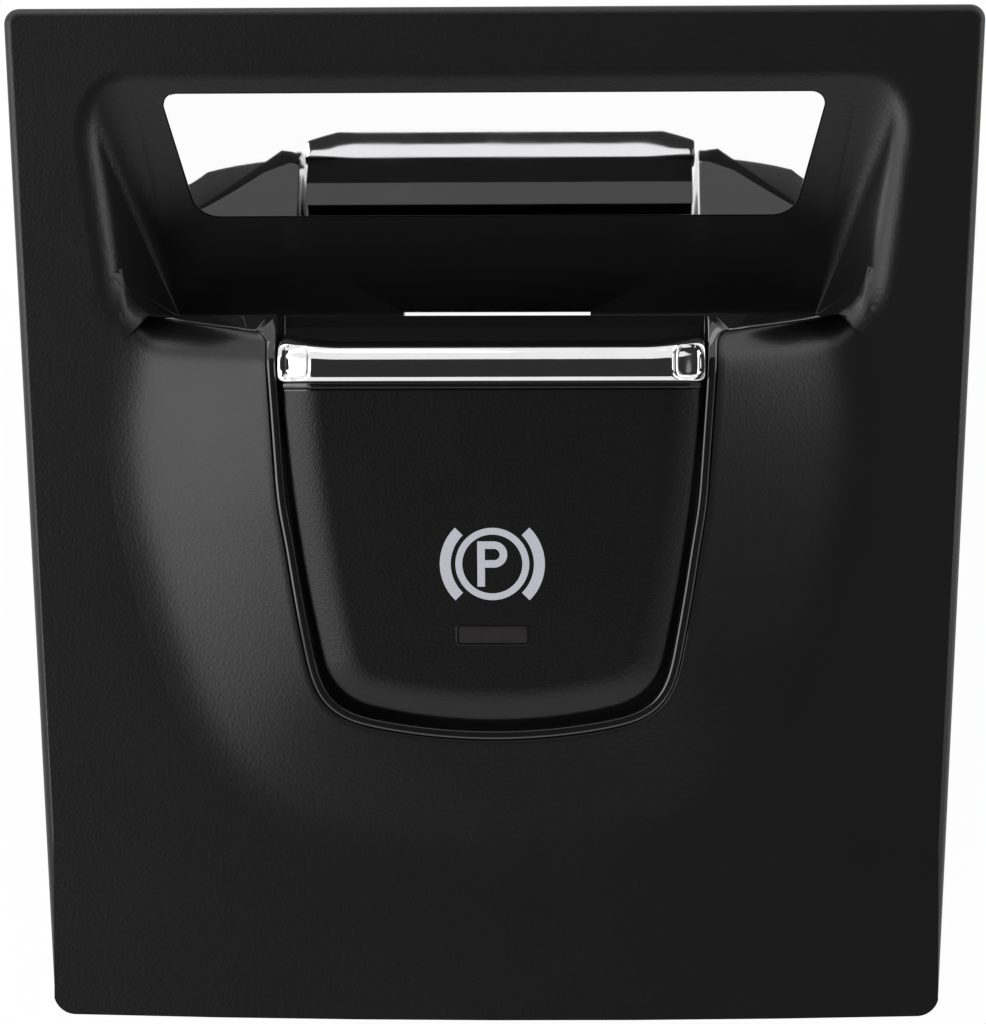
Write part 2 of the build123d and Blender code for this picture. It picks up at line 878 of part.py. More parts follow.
chip_places = [
    (11.5, -5.5, 5.2, 6.2, 1.4),
    (13.2, 3.2, 3.0, 5.0, 2.2),
    (5.8, -2.0, 2.0, 3.6, 1.1),
    (-13.2, -6.2, 3.0, 3.0, 1.6),
    (-13.4, -12.0, 3.6, 2.0, 1.0),
    (13.2, -12.6, 2.0, 3.6, 1.0),
]
with BuildPart() as board_chips:
    for chip_x, chip_y, chip_width, chip_length, chip_height in chip_places:
        with Locations((chip_x, chip_y, board_top)):
            Box(
                chip_width,
                chip_length,
                chip_height,
                align=(Align.CENTER, Align.CENTER, Align.MIN),
            )
finish(board_chips, "board_chips")

with BuildPart() as board_leds:
    with BuildSketch(Plane.XY.offset(board_top)):
        with Locations((0, symbol_y), (0, indicator_y)):
            Rectangle(led_size, led_size)
    extrude(amount=led_height)
    chamfer(board_leds.faces().filter_by(Plane.XY).group_by(Axis.Z)[-1].edges(), 0.3)
finish(board_leds, "board_leds")

pipe_foot = board_top + led_height + pipe_gap
pipe_collar = 0.6
with BuildPart() as light_pipes:
    with BuildSketch(Plane.XY.offset(pipe_foot)):
        with Locations((0, symbol_y)):
            Circle(symbol_pipe_radius)
        with Locations((0, indicator_y)):
            Circle(indicator_pipe_radius)
    extrude(amount=deck_top + pipe_rise - pipe_foot)
    with BuildSketch(Plane.XY.offset(deck_top - deck_thickness)):
        with Locations((0, symbol_y)):
            Circle(symbol_pipe_radius + pipe_collar)
        with Locations((0, indicator_y)):
            Circle(indicator_pipe_radius + pipe_collar)
    extrude(amount=-2 * pipe_collar)
finish(light_pipes, "light_pipes")

# Two switches that the lever's legs work through spring plungers
with BuildPart() as pull_switch:
    pull_face_y = pull_tip_y + plunger_out
    with Locations((-switch_x, pull_face_y, board_top)):
        Box(
            switch_width,
            pull_switch_length,
            switch_height,
            align=(Align.CENTER, Align.MIN, Align.MIN),
        )
    chamfer(pull_switch.faces().sort_by(Axis.Z)[-1].edges(), 0.4)
    with BuildSketch(Plane.XZ.offset(-pull_face_y)):
        with Locations((-leg_x, plunger_z)):
            Circle(plunger_radius + plunger_clearance)
    extrude(amount=-pull_bore, mode=Mode.SUBTRACT)
finish(pull_switch, "pull_switch")

with BuildPart() as release_switch:
    release_face_y = release_tip_y - plunger_out
    with Locations((switch_x, release_face_y, board_top)):
        Box(
            switch_width,
            release_switch_length,
            switch_height,
            align=(Align.CENTER, Align.MAX, Align.MIN),
        )
    chamfer(release_switch.faces().sort_by(Axis.Z)[-1].edges(), 0.4)
    with BuildSketch(Plane.XZ.offset(-release_face_y)):
        with Locations((leg_x, plunger_z)):
            Circle(plunger_radius + plunger_clearance)
    extrude(amount=release_bore, mode=Mode.SUBTRACT)
finish(release_switch, "release_switch")

with BuildPart() as pull_plunger:
    with BuildSketch(Plane.XZ.offset(-pull_tip_y - plunger_radius)):
        with Locations((-leg_x, plunger_z)):
            Circle(plunger_radius)
    extrude(amount=plunger_radius - pull_plunger_length)
    with Locations((-leg_x, pull_tip_y + plunger_radius, plunger_z)):
        Sphere(plunger_radius)
finish(pull_plunger, "pull_plunger")

with BuildPart() as release_plunger:
    with BuildSketch(Plane.XZ.offset(-release_tip_y + plunger_radius)):
        with Locations((leg_x, plunger_z)):
            Circle(plunger_radius)
    extrude(amount=release_plunger_length - plunger_radius)
    with Locations((leg_x, release_tip_y - plunger_radius, plunger_z)):
        Sphere(plunger_radius)
finish(release_plunger, "release_plunger")

# Connector under the board, with its mouth in the block's foot wall
socket_mid_z = socket_bottom + socket_height / 2
with BuildPart() as connector_header:
    with BuildSketch(Plane.XZ.offset(-socket_mouth_y)):
        with Locations((0, socket_mid_z)):
            Rectangle(2 * socket_half, socket_height)
    extrude(amount=socket_mouth_y - socket_end_y)
    with BuildSketch(Plane.XZ.offset(-socket_mouth_y)):
        with Locations((0, socket_mid_z)):
            Rectangle(2 * (socket_half - socket_wall), socket_height - 2 * socket_wall)
    extrude(amount=-socket_depth, mode=Mode.SUBTRACT)
    with BuildSketch(Plane.XZ.offset(-socket_mouth_y)):
        with Locations((0, socket_mid_z + socket_height / 2)):
            Rectangle(socket_half / 2, 4 * socket_wall)
    extrude(amount=-socket_depth * 0.6, mode=Mode.SUBTRACT)
    with BuildSketch(Plane.XZ.offset(-socket_mouth_y - socket_depth)):
        with Locations((0, socket_mid_z)):
            with GridLocations(socket_pitch, 0, socket_pins, 1):
                Rectangle(socket_pin_width, socket_pin_width)
    extrude(
        amount=socket_mouth_y + socket_depth - pin_tail_y - socket_pin_width / 2,
        mode=Mode.SUBTRACT,
    )
    with BuildSketch(Plane.XY.offset(socket_mid_z - socket_pin_width / 2)):
        with Locations((0, pin_tail_y)):
            with GridLocations(socket_pitch, 0, socket_pins, 1):
                Rectangle(socket_pin_width, socket_pin_width)
    extrude(amount=socket_height, mode=Mode.SUBTRACT)
finish(connector_header, "connector_header")

with BuildPart() as connector_pins:
    with BuildSketch(Plane.XZ.offset(-socket_mouth_y - pin_front_gap)):
        with Locations((0, socket_mid_z)):
            with GridLocations(socket_pitch, 0, socket_pins, 1):
                Rectangle(socket_pin_width, socket_pin_width)
    extrude(amount=socket_mouth_y + pin_front_gap - pin_tail_y - socket_pin_width / 2)
    with BuildSketch(Plane.XY.offset(socket_mid_z - socket_pin_width / 2)):
        with Locations((0, pin_tail_y)):
            with GridLocations(socket_pitch, 0, socket_pins, 1):
                Rectangle(socket_pin_width, socket_pin_width)
    extrude(amount=board_top + pin_tail_rise - socket_mid_z + socket_pin_width / 2)
finish(connector_pins, "connector_pins")

with BuildPart() as housing_screws:
    with BuildSketch(Plane.XY.offset(deck_top - ear_thickness)):
        with Locations(*screw_places):
            Circle(screw_head_radius)
    extrude(amount=-screw_head_height)
    with BuildSketch(Plane.XY.offset(deck_top - ear_thickness)):
        with Locations(*screw_places):
            Circle(screw_radius)
    extrude(amount=ear_thickness + screw_bite)
finish(housing_screws, "housing_screws")

with BuildPart() as stop_pads:
    with BuildSketch(Plane.XY.offset(deck_top)):
        with GridLocations(2 * stop_pad_x, 0, 2, 1):
            with Locations((0, stop_pad_y)):
                Circle(stop_pad_radius)
    extrude(amount=stop_pad_height)
    chamfer(stop_pads.faces().filter_by(Plane.XY).group_by(Axis.Z)[-1].edges(), 0.4)
finish(stop_pads, "stop_pads")

# Pivot and return spring
pin_half = cheek_inner + cheek_thickness
with BuildPart() as pivot_pin:
    with BuildSketch(Plane.YZ.offset(-pin_half)):
        with Locations((pivot_y, pivot_z)):
            Circle(pin_radius)
    extrude(amount=2 * pin_half)
    chamfer(pivot_pin.edges(), 0.25)
finish(pivot_pin, "pivot_pin")

with BuildPart() as pivot_bushes:
    with BuildSketch(Plane.YZ.offset(spring_gap_half)):
        with Locations((pivot_y, pivot_z)):
            Circle(pin_radius + pin_clearance + bush_wall)
    extrude(amount=hub_half - spring_gap_half)
    with BuildSketch(Plane.YZ.offset(hub_half)):
        with Locations((pivot_y, pivot_z)):
            Circle(hub_radius - bush_flange)
    extrude(amount=bush_flange)
    with BuildSketch(Plane.YZ.offset(spring_gap_half)):
        with Locations((pivot_y, pivot_z)):
            Circle(pin_radius + pin_clearance)
    extrude(amount=hub_half, mode=Mode.SUBTRACT)
    mirror(about=Plane.YZ)
finish(pivot_bushes, "pivot_bushes")

with BuildPart() as spring_blank:
    with BuildLine():
        coil = Helix(spring_pitch, spring_length, spring_coil_radius, lefthand=True)
        foot = Line(coil @ 0, (coil @ 0) - (coil % 0) * spring_foot)
        Line(coil @ 1, (coil @ 1) + (coil % 1) * spring_leg)
    with BuildSketch(Plane(origin=foot @ 1, z_dir=foot % 1)):
        RegularPolygon(spring_wire / 2, spring_wire_sides)
    sweep(transition=Transition.RIGHT)
coil_plane = Plane(
    origin=(-spring_length / 2, pivot_y, pivot_z),
    x_dir=(0, -1, 0),
    z_dir=(1, 0, 0),
)
with BuildPart() as return_spring:
    with Locations(coil_plane.location):
        add(spring_blank.part)
finish(return_spring, "return_spring")

# Lever: matt cap, translucent parts, chrome trim, finger rest and carrier
cap_foot_step = lever_foot_gap - 0.5
cap_corner_step = 0.6
with BuildPart() as lever_cap:
    for roll_inset, roll_rise in cap_roll:
        add(
            opening_outline(
                crest_plane(cap_proud + roll_rise),
                lever_step + roll_inset,
                cap_foot_step,
                cap_corner_step - roll_inset / 2,
            )
        )
    loft(ruled=True)
    add(
        opening_outline(
            crest_plane(-cap_depth),
            lever_step + cap_wall,
            cap_foot_step,
            cap_corner_step - cap_wall / 2,
        )
    )
    extrude(
        amount=cap_depth + cap_proud - cap_wall,
        dir=crest_plane().z_dir,
        mode=Mode.SUBTRACT,
    )
    with BuildSketch(Plane.XY.offset(deck_top)):
        with Locations((0, trim_front_y)):
            Rectangle(panel_top_width, panel_length, align=(Align.CENTER, Align.MIN))
    extrude(amount=panel_length, mode=Mode.SUBTRACT)
    with BuildSketch(crest_plane(-cap_depth)):
        with Locations((0, pivot_y)):
            Rectangle(2 * (pin_half + cheek_gap), 4 * cheek_radius)
    extrude(amount=cap_depth + cap_proud - cap_wall, mode=Mode.SUBTRACT)
    with BuildSketch(crest_plane(cap_proud)):
        with Locations((0, indicator_y)):
            Rectangle(indicator_length + pipe_gap, indicator_width + pipe_gap)
    extrude(amount=-2 * cap_wall, mode=Mode.SUBTRACT)
finish(lever_cap, "lever_cap")

with BuildPart() as indicator_lens:
    with BuildSketch(crest_plane(cap_proud - pipe_gap)):
        with Locations((0, indicator_y)):
            Rectangle(indicator_length, indicator_width)
    extrude(amount=-cap_wall - 2 * pipe_gap)
finish(indicator_lens, "indicator_lens")

carrier_top = cap_proud - cap_wall - 0.05
carrier_step = lever_step + cap_wall + carrier_clearance
eye_y = pivot_y + spring_leg
with BuildPart() as lever_carrier:
    add(
        opening_outline(
            crest_plane(carrier_top),
            carrier_step,
            cap_foot_step,
            cap_corner_step - cap_wall / 2,
        )
    )
    extrude(amount=-carrier_plate, dir=crest_plane().z_dir)
    with BuildSketch(Plane.XY.offset(deck_top)):
        with Locations((0, grip_wall_y - carrier_clearance)):
            Rectangle(panel_top_width, panel_length, align=(Align.CENTER, Align.MIN))
    extrude(amount=panel_length, mode=Mode.SUBTRACT)
    # Hubs, legs and stop feet under the plate
    with BuildSketch(Plane.YZ.offset(spring_gap_half)):
        with Locations((pivot_y, pivot_z)):
            Circle(hub_radius)
        with Locations((pivot_y, pivot_z - leg_length / 2)):
            Rectangle(leg_thickness, leg_length)
    extrude(amount=hub_half - spring_gap_half)
    mirror(about=Plane.YZ)
    with BuildSketch(Plane.XY.offset(deck_top + stop_pad_height + stop_gap)):
        with GridLocations(2 * stop_pad_x, 0, 2, 1):
            with Locations((0, stop_pad_y)):
                Circle(stop_foot_radius)
    extrude(amount=crest_height(stop_pad_y, carrier_top - 1) - deck_top - stop_pad_height - stop_gap)
    # Gap for the coil, room for the cheeks and holes for guide, screws and bushes
    with BuildSketch(crest_plane(carrier_top)):
        with Locations((0, pivot_y + 0.6)):
            Rectangle(2 * spring_gap_half, spring_gap_length)
        with Locations((0, pivot_y)):
            with GridLocations(hub_half + pin_half + cheek_gap, 0, 2, 1):
                Rectangle(pin_half + cheek_gap - hub_half, 2 * (cheek_radius + 1))
        with Locations((0, symbol_y)):
            Circle(guide_foot + pipe_gap)
        with GridLocations(2 * lever_screw_x, 0, 2, 1):
            with Locations((0, lever_screw_y)):
                Circle(lever_screw_radius)
    extrude(amount=-2 * carrier_plate, mode=Mode.SUBTRACT)
    with BuildSketch(Plane.YZ.offset(-hub_half)):
        with Locations((pivot_y, pivot_z)):
            Circle(pin_radius + pin_clearance + bush_wall)
    extrude(amount=2 * hub_half, mode=Mode.SUBTRACT)
    # Eye that holds the spring's upper leg
    with BuildSketch(Plane.YZ.offset(spring_length / 2 + spring_eye / 2)):
        with Locations((eye_y, crest_height(eye_y, carrier_top - 1) - carrier_plate)):
            Rectangle(spring_eye, carrier_plate + 2 * spring_eye)
    extrude(amount=spring_eye, both=True)
    add(return_spring.part, mode=Mode.SUBTRACT)
finish(lever_carrier, "lever_carrier")

with BuildPart() as symbol_light_guide:
    with BuildSketch(Plane.XY.offset(deck_top + 3 * pipe_rise)):
        with Locations((0, symbol_y)):
            Circle(guide_foot - pipe_gap * 6)
    extrude(amount=face_above_deck)
    with BuildSketch(crest_plane(carrier_top)):
        with Locations((0, symbol_y)):
            Circle(guide_foot)
    extrude(amount=-carrier_plate)
finish(symbol_light_guide, "symbol_light_guide")

flange_top = carrier_top - carrier_plate - 0.05
flange_foot = flange_top - grip_flange_thickness
with BuildPart() as finger_grip:
    with BuildSketch(Plane.YZ):
        with BuildLine():
            Polyline(
                (trim_front_y, grip_shelf),
                (grip_seat_y, grip_shelf),
                *above_shelf(grip_hook[:5]),
                (trim_front_y, grip_shelf + grip_hook[5][1]),
                close=True,
            )
        make_face()
    extrude(amount=grip_half, both=True)
    with BuildSketch(Plane.YZ):
        with BuildLine():
            Polyline(
                (grip_flange_y, crest_height(grip_flange_y, flange_foot)),
                (grip_flange_y, crest_height(grip_flange_y, flange_top)),
                (grip_wall_y, crest_height(grip_wall_y, flange_top)),
                (grip_wall_y, grip_shelf),
                (grip_seat_y, grip_shelf),
                *above_shelf(grip_hook),
                (grip_hook[7][0], crest_height(grip_hook[7][0], flange_foot)),
                close=True,
            )
        make_face()
    extrude(amount=grip_inner_half, both=True)
    with BuildSketch(crest_plane(flange_top)):
        with GridLocations(2 * lever_screw_x, 0, 2, 1):
            with Locations((0, lever_screw_y)):
                Circle(lever_screw_radius)
    extrude(amount=-2 * grip_flange_thickness, mode=Mode.SUBTRACT)
finish(finger_grip, "finger_grip")

with BuildPart() as lever_screws:
    with BuildSketch(crest_plane(flange_foot)):
        with GridLocations(2 * lever_screw_x, 0, 2, 1):
            with Locations((0, lever_screw_y)):
                Circle(lever_screw_head)
    extrude(amount=-lever_screw_head_height)
    with BuildSketch(crest_plane(flange_foot)):
        with GridLocations(2 * lever_screw_x, 0, 2, 1):
            with Locations((0, lever_screw_y)):
                Circle(lever_screw_radius)
    extrude(amount=grip_flange_thickness + carrier_plate)
finish(lever_screws, "lever_screws")

with BuildPart() as chrome_trim:
    with BuildSketch(Plane.YZ.offset(-trim_half)):
        with BuildLine():
            section = above_shelf(trim_section)
            ThreePointArc(*section[1:4])
            ThreePointArc(*section[3:6])
            Polyline(*section[5:], *section[:2])
        make_face()
    extrude(amount=2 * trim_half)
    with BuildSketch(Plane.XZ.offset(1 - trim_front_y)):
        with BuildLine():
            pad_top = section[3][1] + pad_rise
            Polyline(
                (trim_half - trim_pad_length, pad_top),
                (trim_half, pad_top - trim_end_drop),
                (trim_half + 1, pad_top - trim_end_drop),
                (trim_half + 1, pad_top),
                close=True,
            )
        make_face()
        mirror(about=Plane.YZ)
    extrude(amount=-2 * trim_pad_length - 1, mode=Mode.SUBTRACT)
finish(chrome_trim, "chrome_trim")

# Spring-steel clips round the towers
clip_half = tower_thickness / 2 + clip_strip / 2 + 0.05
with BuildPart() as clip_blank:
    with BuildSketch(Plane.XZ.offset(-clip_width / 2)):
        with BuildLine():
            Polyline(
                (-clip_half, tower_length - clip_tail_gap),
                (-clip_half, -clip_strip / 2 - 0.05),
                (clip_half, -clip_strip / 2 - 0.05),
                (clip_half + clip_barb, tower_length * 0.6),
                (clip_half + 0.2, tower_length - 1.5),
            )
        trace(line_width=clip_strip)
    extrude(amount=clip_width)
with BuildPart() as retaining_clips:
    with Locations(*rear_clip_places, *foot_clip_places):
        add(clip_blank.part)
finish(retaining_clips, "retaining_clips")
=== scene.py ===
import json
import math

import bmesh
import bpy
from mathutils import Matrix, Vector
from mathutils.geometry import interpolate_bezier


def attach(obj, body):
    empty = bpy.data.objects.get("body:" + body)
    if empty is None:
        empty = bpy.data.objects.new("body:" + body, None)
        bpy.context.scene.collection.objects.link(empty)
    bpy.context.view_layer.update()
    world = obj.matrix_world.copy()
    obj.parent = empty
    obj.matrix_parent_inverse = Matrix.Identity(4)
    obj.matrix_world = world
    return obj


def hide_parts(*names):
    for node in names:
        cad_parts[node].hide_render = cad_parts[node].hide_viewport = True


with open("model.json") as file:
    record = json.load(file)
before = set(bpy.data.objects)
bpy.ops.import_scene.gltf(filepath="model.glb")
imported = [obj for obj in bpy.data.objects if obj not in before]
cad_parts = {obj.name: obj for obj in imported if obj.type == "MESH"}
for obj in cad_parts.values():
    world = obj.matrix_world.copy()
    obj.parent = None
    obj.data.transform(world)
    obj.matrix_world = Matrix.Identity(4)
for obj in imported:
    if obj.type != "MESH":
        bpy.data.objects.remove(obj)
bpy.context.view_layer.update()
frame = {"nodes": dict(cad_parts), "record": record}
nodes = frame["nodes"]
scene = bpy.context.scene
mm = 0.001
print("frame loaded")


class Wire:
    # Wraps a socket so that shader maths reads as plain expressions

    def __init__(self, tree, socket):
        self.tree = tree
        self.socket = socket

    def combine(self, operation, left, right=0.0):
        node = self.tree.nodes.new("ShaderNodeMath")
        node.operation = operation
        for slot, value in zip(node.inputs, (left, right)):
            plug(self.tree, slot, value)
        return Wire(self.tree, node.outputs[0])

    def __add__(self, other):
        return self.combine("ADD", self, other)

    __radd__ = __add__

    def __sub__(self, other):
        return self.combine("SUBTRACT", self, other)

    def __rsub__(self, other):
        return self.combine("SUBTRACT", other, self)

    def __mul__(self, other):
        return self.combine("MULTIPLY", self, other)

    __rmul__ = __mul__

    def over(self, limit):
        return self.combine("GREATER_THAN", self, limit)

    def under(self, limit):
        return self.combine("LESS_THAN", self, limit)

    def fraction(self):
        return self.combine("FRACT", self)

    def size(self):
        return self.combine("ABSOLUTE", self)

    def least(self, other):
        return self.combine("MINIMUM", self, other)

    def most(self, other):
        return self.combine("MAXIMUM", self, other)


def plug(tree, slot, value):
    if isinstance(value, Wire):
        tree.links.new(value.socket, slot)
    elif value is not None:
        slot.default_value = value


class Finish:
    # One material with its nodes

    def __init__(self, name):
        self.material = bpy.data.materials.new(name)
        self.material.use_nodes = True
        self.tree = self.material.node_tree
        self.tree.nodes.clear()
        self.output = self.tree.nodes.new("ShaderNodeOutputMaterial")

    def make(self, kind, settings=None, sockets=None, output=0):
        node = self.tree.nodes.new("ShaderNode" + kind)
        for key, value in (settings or {}).items():
            setattr(node, key, value)
        for key, value in (sockets or {}).items():
            plug(self.tree, node.inputs[key], value)
        return Wire(self.tree, node.outputs[output])

    def place(self):
        return self.make("TexCoord", output=3)

    def axis(self, name):
        return self.make("SeparateXYZ", sockets={0: self.place()}, output="XYZ".index(name))

    def noise(self, grain, detail=2.0, roughness=0.5, stretch=(1, 1, 1)):
        # Noise whose blotches are about this many metres wide
        spread = self.make(
            "Mapping", sockets={"Vector": self.place(), "Scale": [s / grain for s in stretch]}
        )
        return self.make(
            "TexNoise",
            sockets={"Vector": spread, "Scale": 1.0, "Detail": detail, "Roughness": roughness},
        )

    def cells(self, grain):
        spread = self.make("Mapping", sockets={"Vector": self.place(), "Scale": [1 / grain] * 3})
        return self.make("TexVoronoi", sockets={"Vector": spread, "Scale": 1.0})

    def blend(self, factor, first, second):
        return self.make(
            "Mix", {"data_type": "RGBA"}, {0: factor, 6: first, 7: second}, output=2
        )

    def bump(self, height, depth):
        return self.make("Bump", sockets={"Height": height, "Distance": depth, "Strength": 1.0})

    def surface(self, **values):
        names = {
            "colour": "Base Color",
            "rough": "Roughness",
            "metal": "Metallic",
            "coat": "Coat Weight",
            "level": "Specular IOR Level",
            "normal": "Normal",
            "through": "Transmission Weight",
            "ior": "IOR",
        }
        return self.make("BsdfPrincipled", sockets={names[k]: v for k, v in values.items()})

    def done(self, shader):
        self.tree.links.new(shader.socket, self.output.inputs[0])
        return self.material


def grey(value, tint=(1, 1, 1)):
    return (value * tint[0], value * tint[1], value * tint[2], 1)


def mouldedPlastic(name, dark, light, rough, grain, depth, tint=(1, 1, 1), level=0.5):
    # Moulded plastic with an eroded fine grain and slightly uneven gloss
    finish = Finish(name)
    cloud = finish.noise(11 * mm, 3.0)
    speck = finish.noise(grain, 3.0, 0.62)
    pits = finish.cells(grain * 1.3)
    colour = finish.blend(speck * 0.7 + cloud * 0.3, grey(dark, tint), grey(light, tint))
    roughness = rough + (cloud - 0.5) * 0.05 + (speck - 0.5) * 0.10
    normal = finish.bump(pits * 0.9 + speck * 0.5, depth)
    return finish.done(finish.surface(colour=colour, rough=roughness, normal=normal, level=level))


def glossPlastic(name, value, rough):
    # Polished plastic with a very slight ripple and faint smears
    finish = Finish(name)
    smear = finish.noise(6 * mm, 4.0, 0.6, (1, 2.2, 1))
    fine = finish.noise(0.45 * mm, 2.0)
    roughness = rough + (smear - 0.45).most(0.0) * 0.12
    normal = finish.bump(fine * 0.4 + smear * 0.6, 0.002 * mm)
    colour = finish.blend(smear, grey(value * 0.9), grey(value * 1.1))
    return finish.done(finish.surface(colour=colour, rough=roughness, normal=normal, coat=0.6))


def platedChrome():
    # Bright chrome on plastic: smooth, with faint ripples of the moulding below
    finish = Finish("trimChrome")
    ripple = finish.noise(4 * mm, 1.0, 0.4, (0.6, 1, 1))
    haze = finish.noise(2.2 * mm, 3.0, 0.6)
    roughness = 0.055 + (haze - 0.45).most(0.0) * 0.10
    colour = finish.blend(haze, (0.78, 0.78, 0.79, 1), (0.86, 0.86, 0.87, 1))
    normal = finish.bump(ripple, 0.010 * mm)
    return finish.done(finish.surface(colour=colour, metal=1.0, rough=roughness, normal=normal))


def mirrorPlate():
    finish = Finish("pocketMirror")
    haze = finish.noise(5 * mm, 3.0, 0.55)
    roughness = 0.025 + (haze - 0.45).most(0.0) * 0.06
    colour = finish.blend(haze, (0.965, 0.965, 0.97, 1), (0.985, 0.985, 0.985, 1))
    # the moulding is bowed a little, so it shows a touch more of what stands before it
    ripple = finish.noise(12 * mm, 1.0, 0.4) * 0.000006
    bow = finish.axis("Y") * 0.030
    normal = finish.bump(ripple + bow, 1.0)
    return finish.done(finish.surface(colour=colour, metal=1.0, rough=roughness, normal=normal))


def metalFinish(name, colour, rough, grain=(1, 1, 1), scratch=0.35 * mm):
    # Plain metal with drawn or tumbled marks
    finish = Finish(name)
    marks = finish.noise(scratch, 4.0, 0.7, grain)
    cloud = finish.noise(4 * mm, 3.0, 0.6)
    dark = tuple(c * 0.82 for c in colour) + (1,)
    light = tuple(min(c * 1.08, 1.0) for c in colour) + (1,)
    roughness = rough + (marks - 0.5) * 0.18 + (cloud - 0.5) * 0.08
    normal = finish.bump(marks, 0.006 * mm)
    paint = finish.blend(marks * 0.6 + cloud * 0.4, dark, light)
    return finish.done(finish.surface(colour=paint, metal=1.0, rough=roughness, normal=normal))


def clearGuide():
    finish = Finish("clearGuide")
    haze = finish.noise(2 * mm, 3.0, 0.6)
    colour = finish.blend(haze, (0.86, 0.88, 0.88, 1), (0.93, 0.94, 0.94, 1))
    return finish.done(
        finish.surface(colour=colour, rough=0.12 + haze * 0.12, through=0.75, ior=1.49)
    )


def trackLines(place):
    # 1 along narrow lines at an even pitch, 0 between them
    return ((place * (1 / (1.25 * mm))).fraction() - 0.5).size().under(0.17)


def boardLacquer():
    # Green solder lacquer over copper tracks that show as raised lines
    finish = Finish("boardLacquer")
    zones = finish.noise(8 * mm, 1.0)
    across = trackLines(finish.axis("X")) * zones.over(0.52)
    along = trackLines(finish.axis("Y")) * zones.under(0.44)
    tracks = (across + along).least(1.0)
    cloud = finish.noise(3 * mm, 3.0)
    base = finish.blend(cloud, (0.008, 0.060, 0.026, 1), (0.012, 0.082, 0.034, 1))
    colour = finish.blend(tracks, base, (0.022, 0.150, 0.060, 1))
    normal = finish.bump(tracks, 0.035 * mm)
    return finish.done(finish.surface(colour=colour, rough=0.28, normal=normal, coat=0.4))


def lampPhosphor():
    finish = Finish("lampPhosphor")
    speck = finish.noise(0.3 * mm, 3.0)
    colour = finish.blend(speck, (0.80, 0.72, 0.30, 1), (0.88, 0.84, 0.52, 1))
    return finish.done(finish.surface(colour=colour, rough=0.45))


def signPrint():
    # Translucent white print of the brake sign, unlit and a little grey
    finish = Finish("signPrint")
    speck = finish.noise(0.18 * mm, 2.0, 0.6)
    colour = finish.blend(speck, (0.44, 0.44, 0.495, 1), (0.575, 0.575, 0.64, 1))
    normal = finish.bump(speck, 0.004 * mm)
    return finish.done(finish.surface(colour=colour, rough=0.55, normal=normal))


def smokeLens():
    finish = Finish("smokeLens")
    haze = finish.noise(1.2 * mm, 2.0)
    colour = finish.blend(haze, (0.020, 0.0185, 0.0195, 1), (0.034, 0.031, 0.032, 1))
    return finish.done(finish.surface(colour=colour, rough=0.16 + haze * 0.06, coat=0.5))


plastics = {  # slot: name, dark and light value, roughness, grain and its depth in mm, the rest
    "panel_black": ("panelBlack", 0.0045, 0.0070, 0.39, 0.22, 0.013, {"level": 0.42}),
    "lever_black": (
        "leverBlack", 0.0032, 0.0052, 0.39, 0.19, 0.020, {"tint": (1, 1, 1.05), "level": 0.35},
    ),
    "frame_black": ("carrierBlack", 0.025, 0.032, 0.50, 0.40, 0.016, {}),
    "housing_grey": ("housingGrey", 0.036, 0.048, 0.52, 0.45, 0.020, {"tint": (1, 1.02, 1.05)}),
    "switch_black": ("switchBlack", 0.020, 0.028, 0.42, 0.25, 0.010, {}),
    "socket_black": ("socketBlack", 0.024, 0.033, 0.40, 0.30, 0.012, {}),
    "chip_black": ("chipBlack", 0.018, 0.026, 0.58, 0.15, 0.008, {}),
    "rubber_black": ("padRubber", 0.016, 0.022, 0.78, 0.30, 0.020, {"level": 0.3}),
    "bush_white": ("bushAcetal", 0.70, 0.78, 0.35, 0.30, 0.006, {"tint": (1, 0.98, 0.93)}),
    "plunger_cream": ("plungerAcetal", 0.58, 0.66, 0.35, 0.30, 0.006, {"tint": (1, 0.94, 0.76)}),
}
finishes = {
    "gloss_black": glossPlastic("surroundGloss", 0.008, 0.07),
    "chrome": platedChrome(),
    "mirror": mirrorPlate(),
    "smoke_lens": smokeLens(),
    "clear_guide": clearGuide(),
    "steel": metalFinish("pinSteel", (0.52, 0.52, 0.53), 0.24, (0.15, 1, 1)),
    "zinc_steel": metalFinish("screwZinc", (0.60, 0.60, 0.57), 0.34),
    "spring_steel": metalFinish("springSteel", (0.30, 0.29, 0.28), 0.36, (1, 1, 0.3)),
    "tin": metalFinish("pinTin", (0.68, 0.67, 0.63), 0.30, (1, 0.2, 1), 0.2 * mm),
    "board_green": boardLacquer(),
    "led_white": lampPhosphor(),
}
for plasticSlot, (name, dark, light, rough, grain, depth, rest) in plastics.items():
    finishes[plasticSlot] = mouldedPlastic(name, dark, light, rough, grain * mm, depth * mm, **rest)
slotOf = {entry["node"]: entry["material_slot"] for entry in frame["record"]["subparts"]}
for nodeName, nodeObject in nodes.items():
    nodeObject.data.materials.clear()
    nodeObject.data.materials.append(finishes[slotOf[nodeName]])
print("finishes made")


def finishPiece(mesh, name, slot, body, smoothAngle=35, replaced=(), turned=True):
    # turned: made here, so its faces are turned outwards; a copy of a node already is
    if turned:
        bmesh.ops.recalc_face_normals(mesh, faces=mesh.faces)
    data = bpy.data.meshes.new(name)
    mesh.to_mesh(data)
    mesh.free()
    piece = bpy.data.objects.new(name, data)
    scene.collection.objects.link(piece)
    data.materials.append(finishes[slot] if slot in finishes else bpy.data.materials[slot])
    for face in data.polygons:
        face.use_smooth = True
    data.set_sharp_from_angle(angle=math.radians(smoothAngle))
    even = piece.modifiers.new("evenShade", "WEIGHTED_NORMAL")
    even.keep_sharp = True
    even.weight = 80
    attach(piece, body)
    for node in replaced:
        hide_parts(node)
    return piece


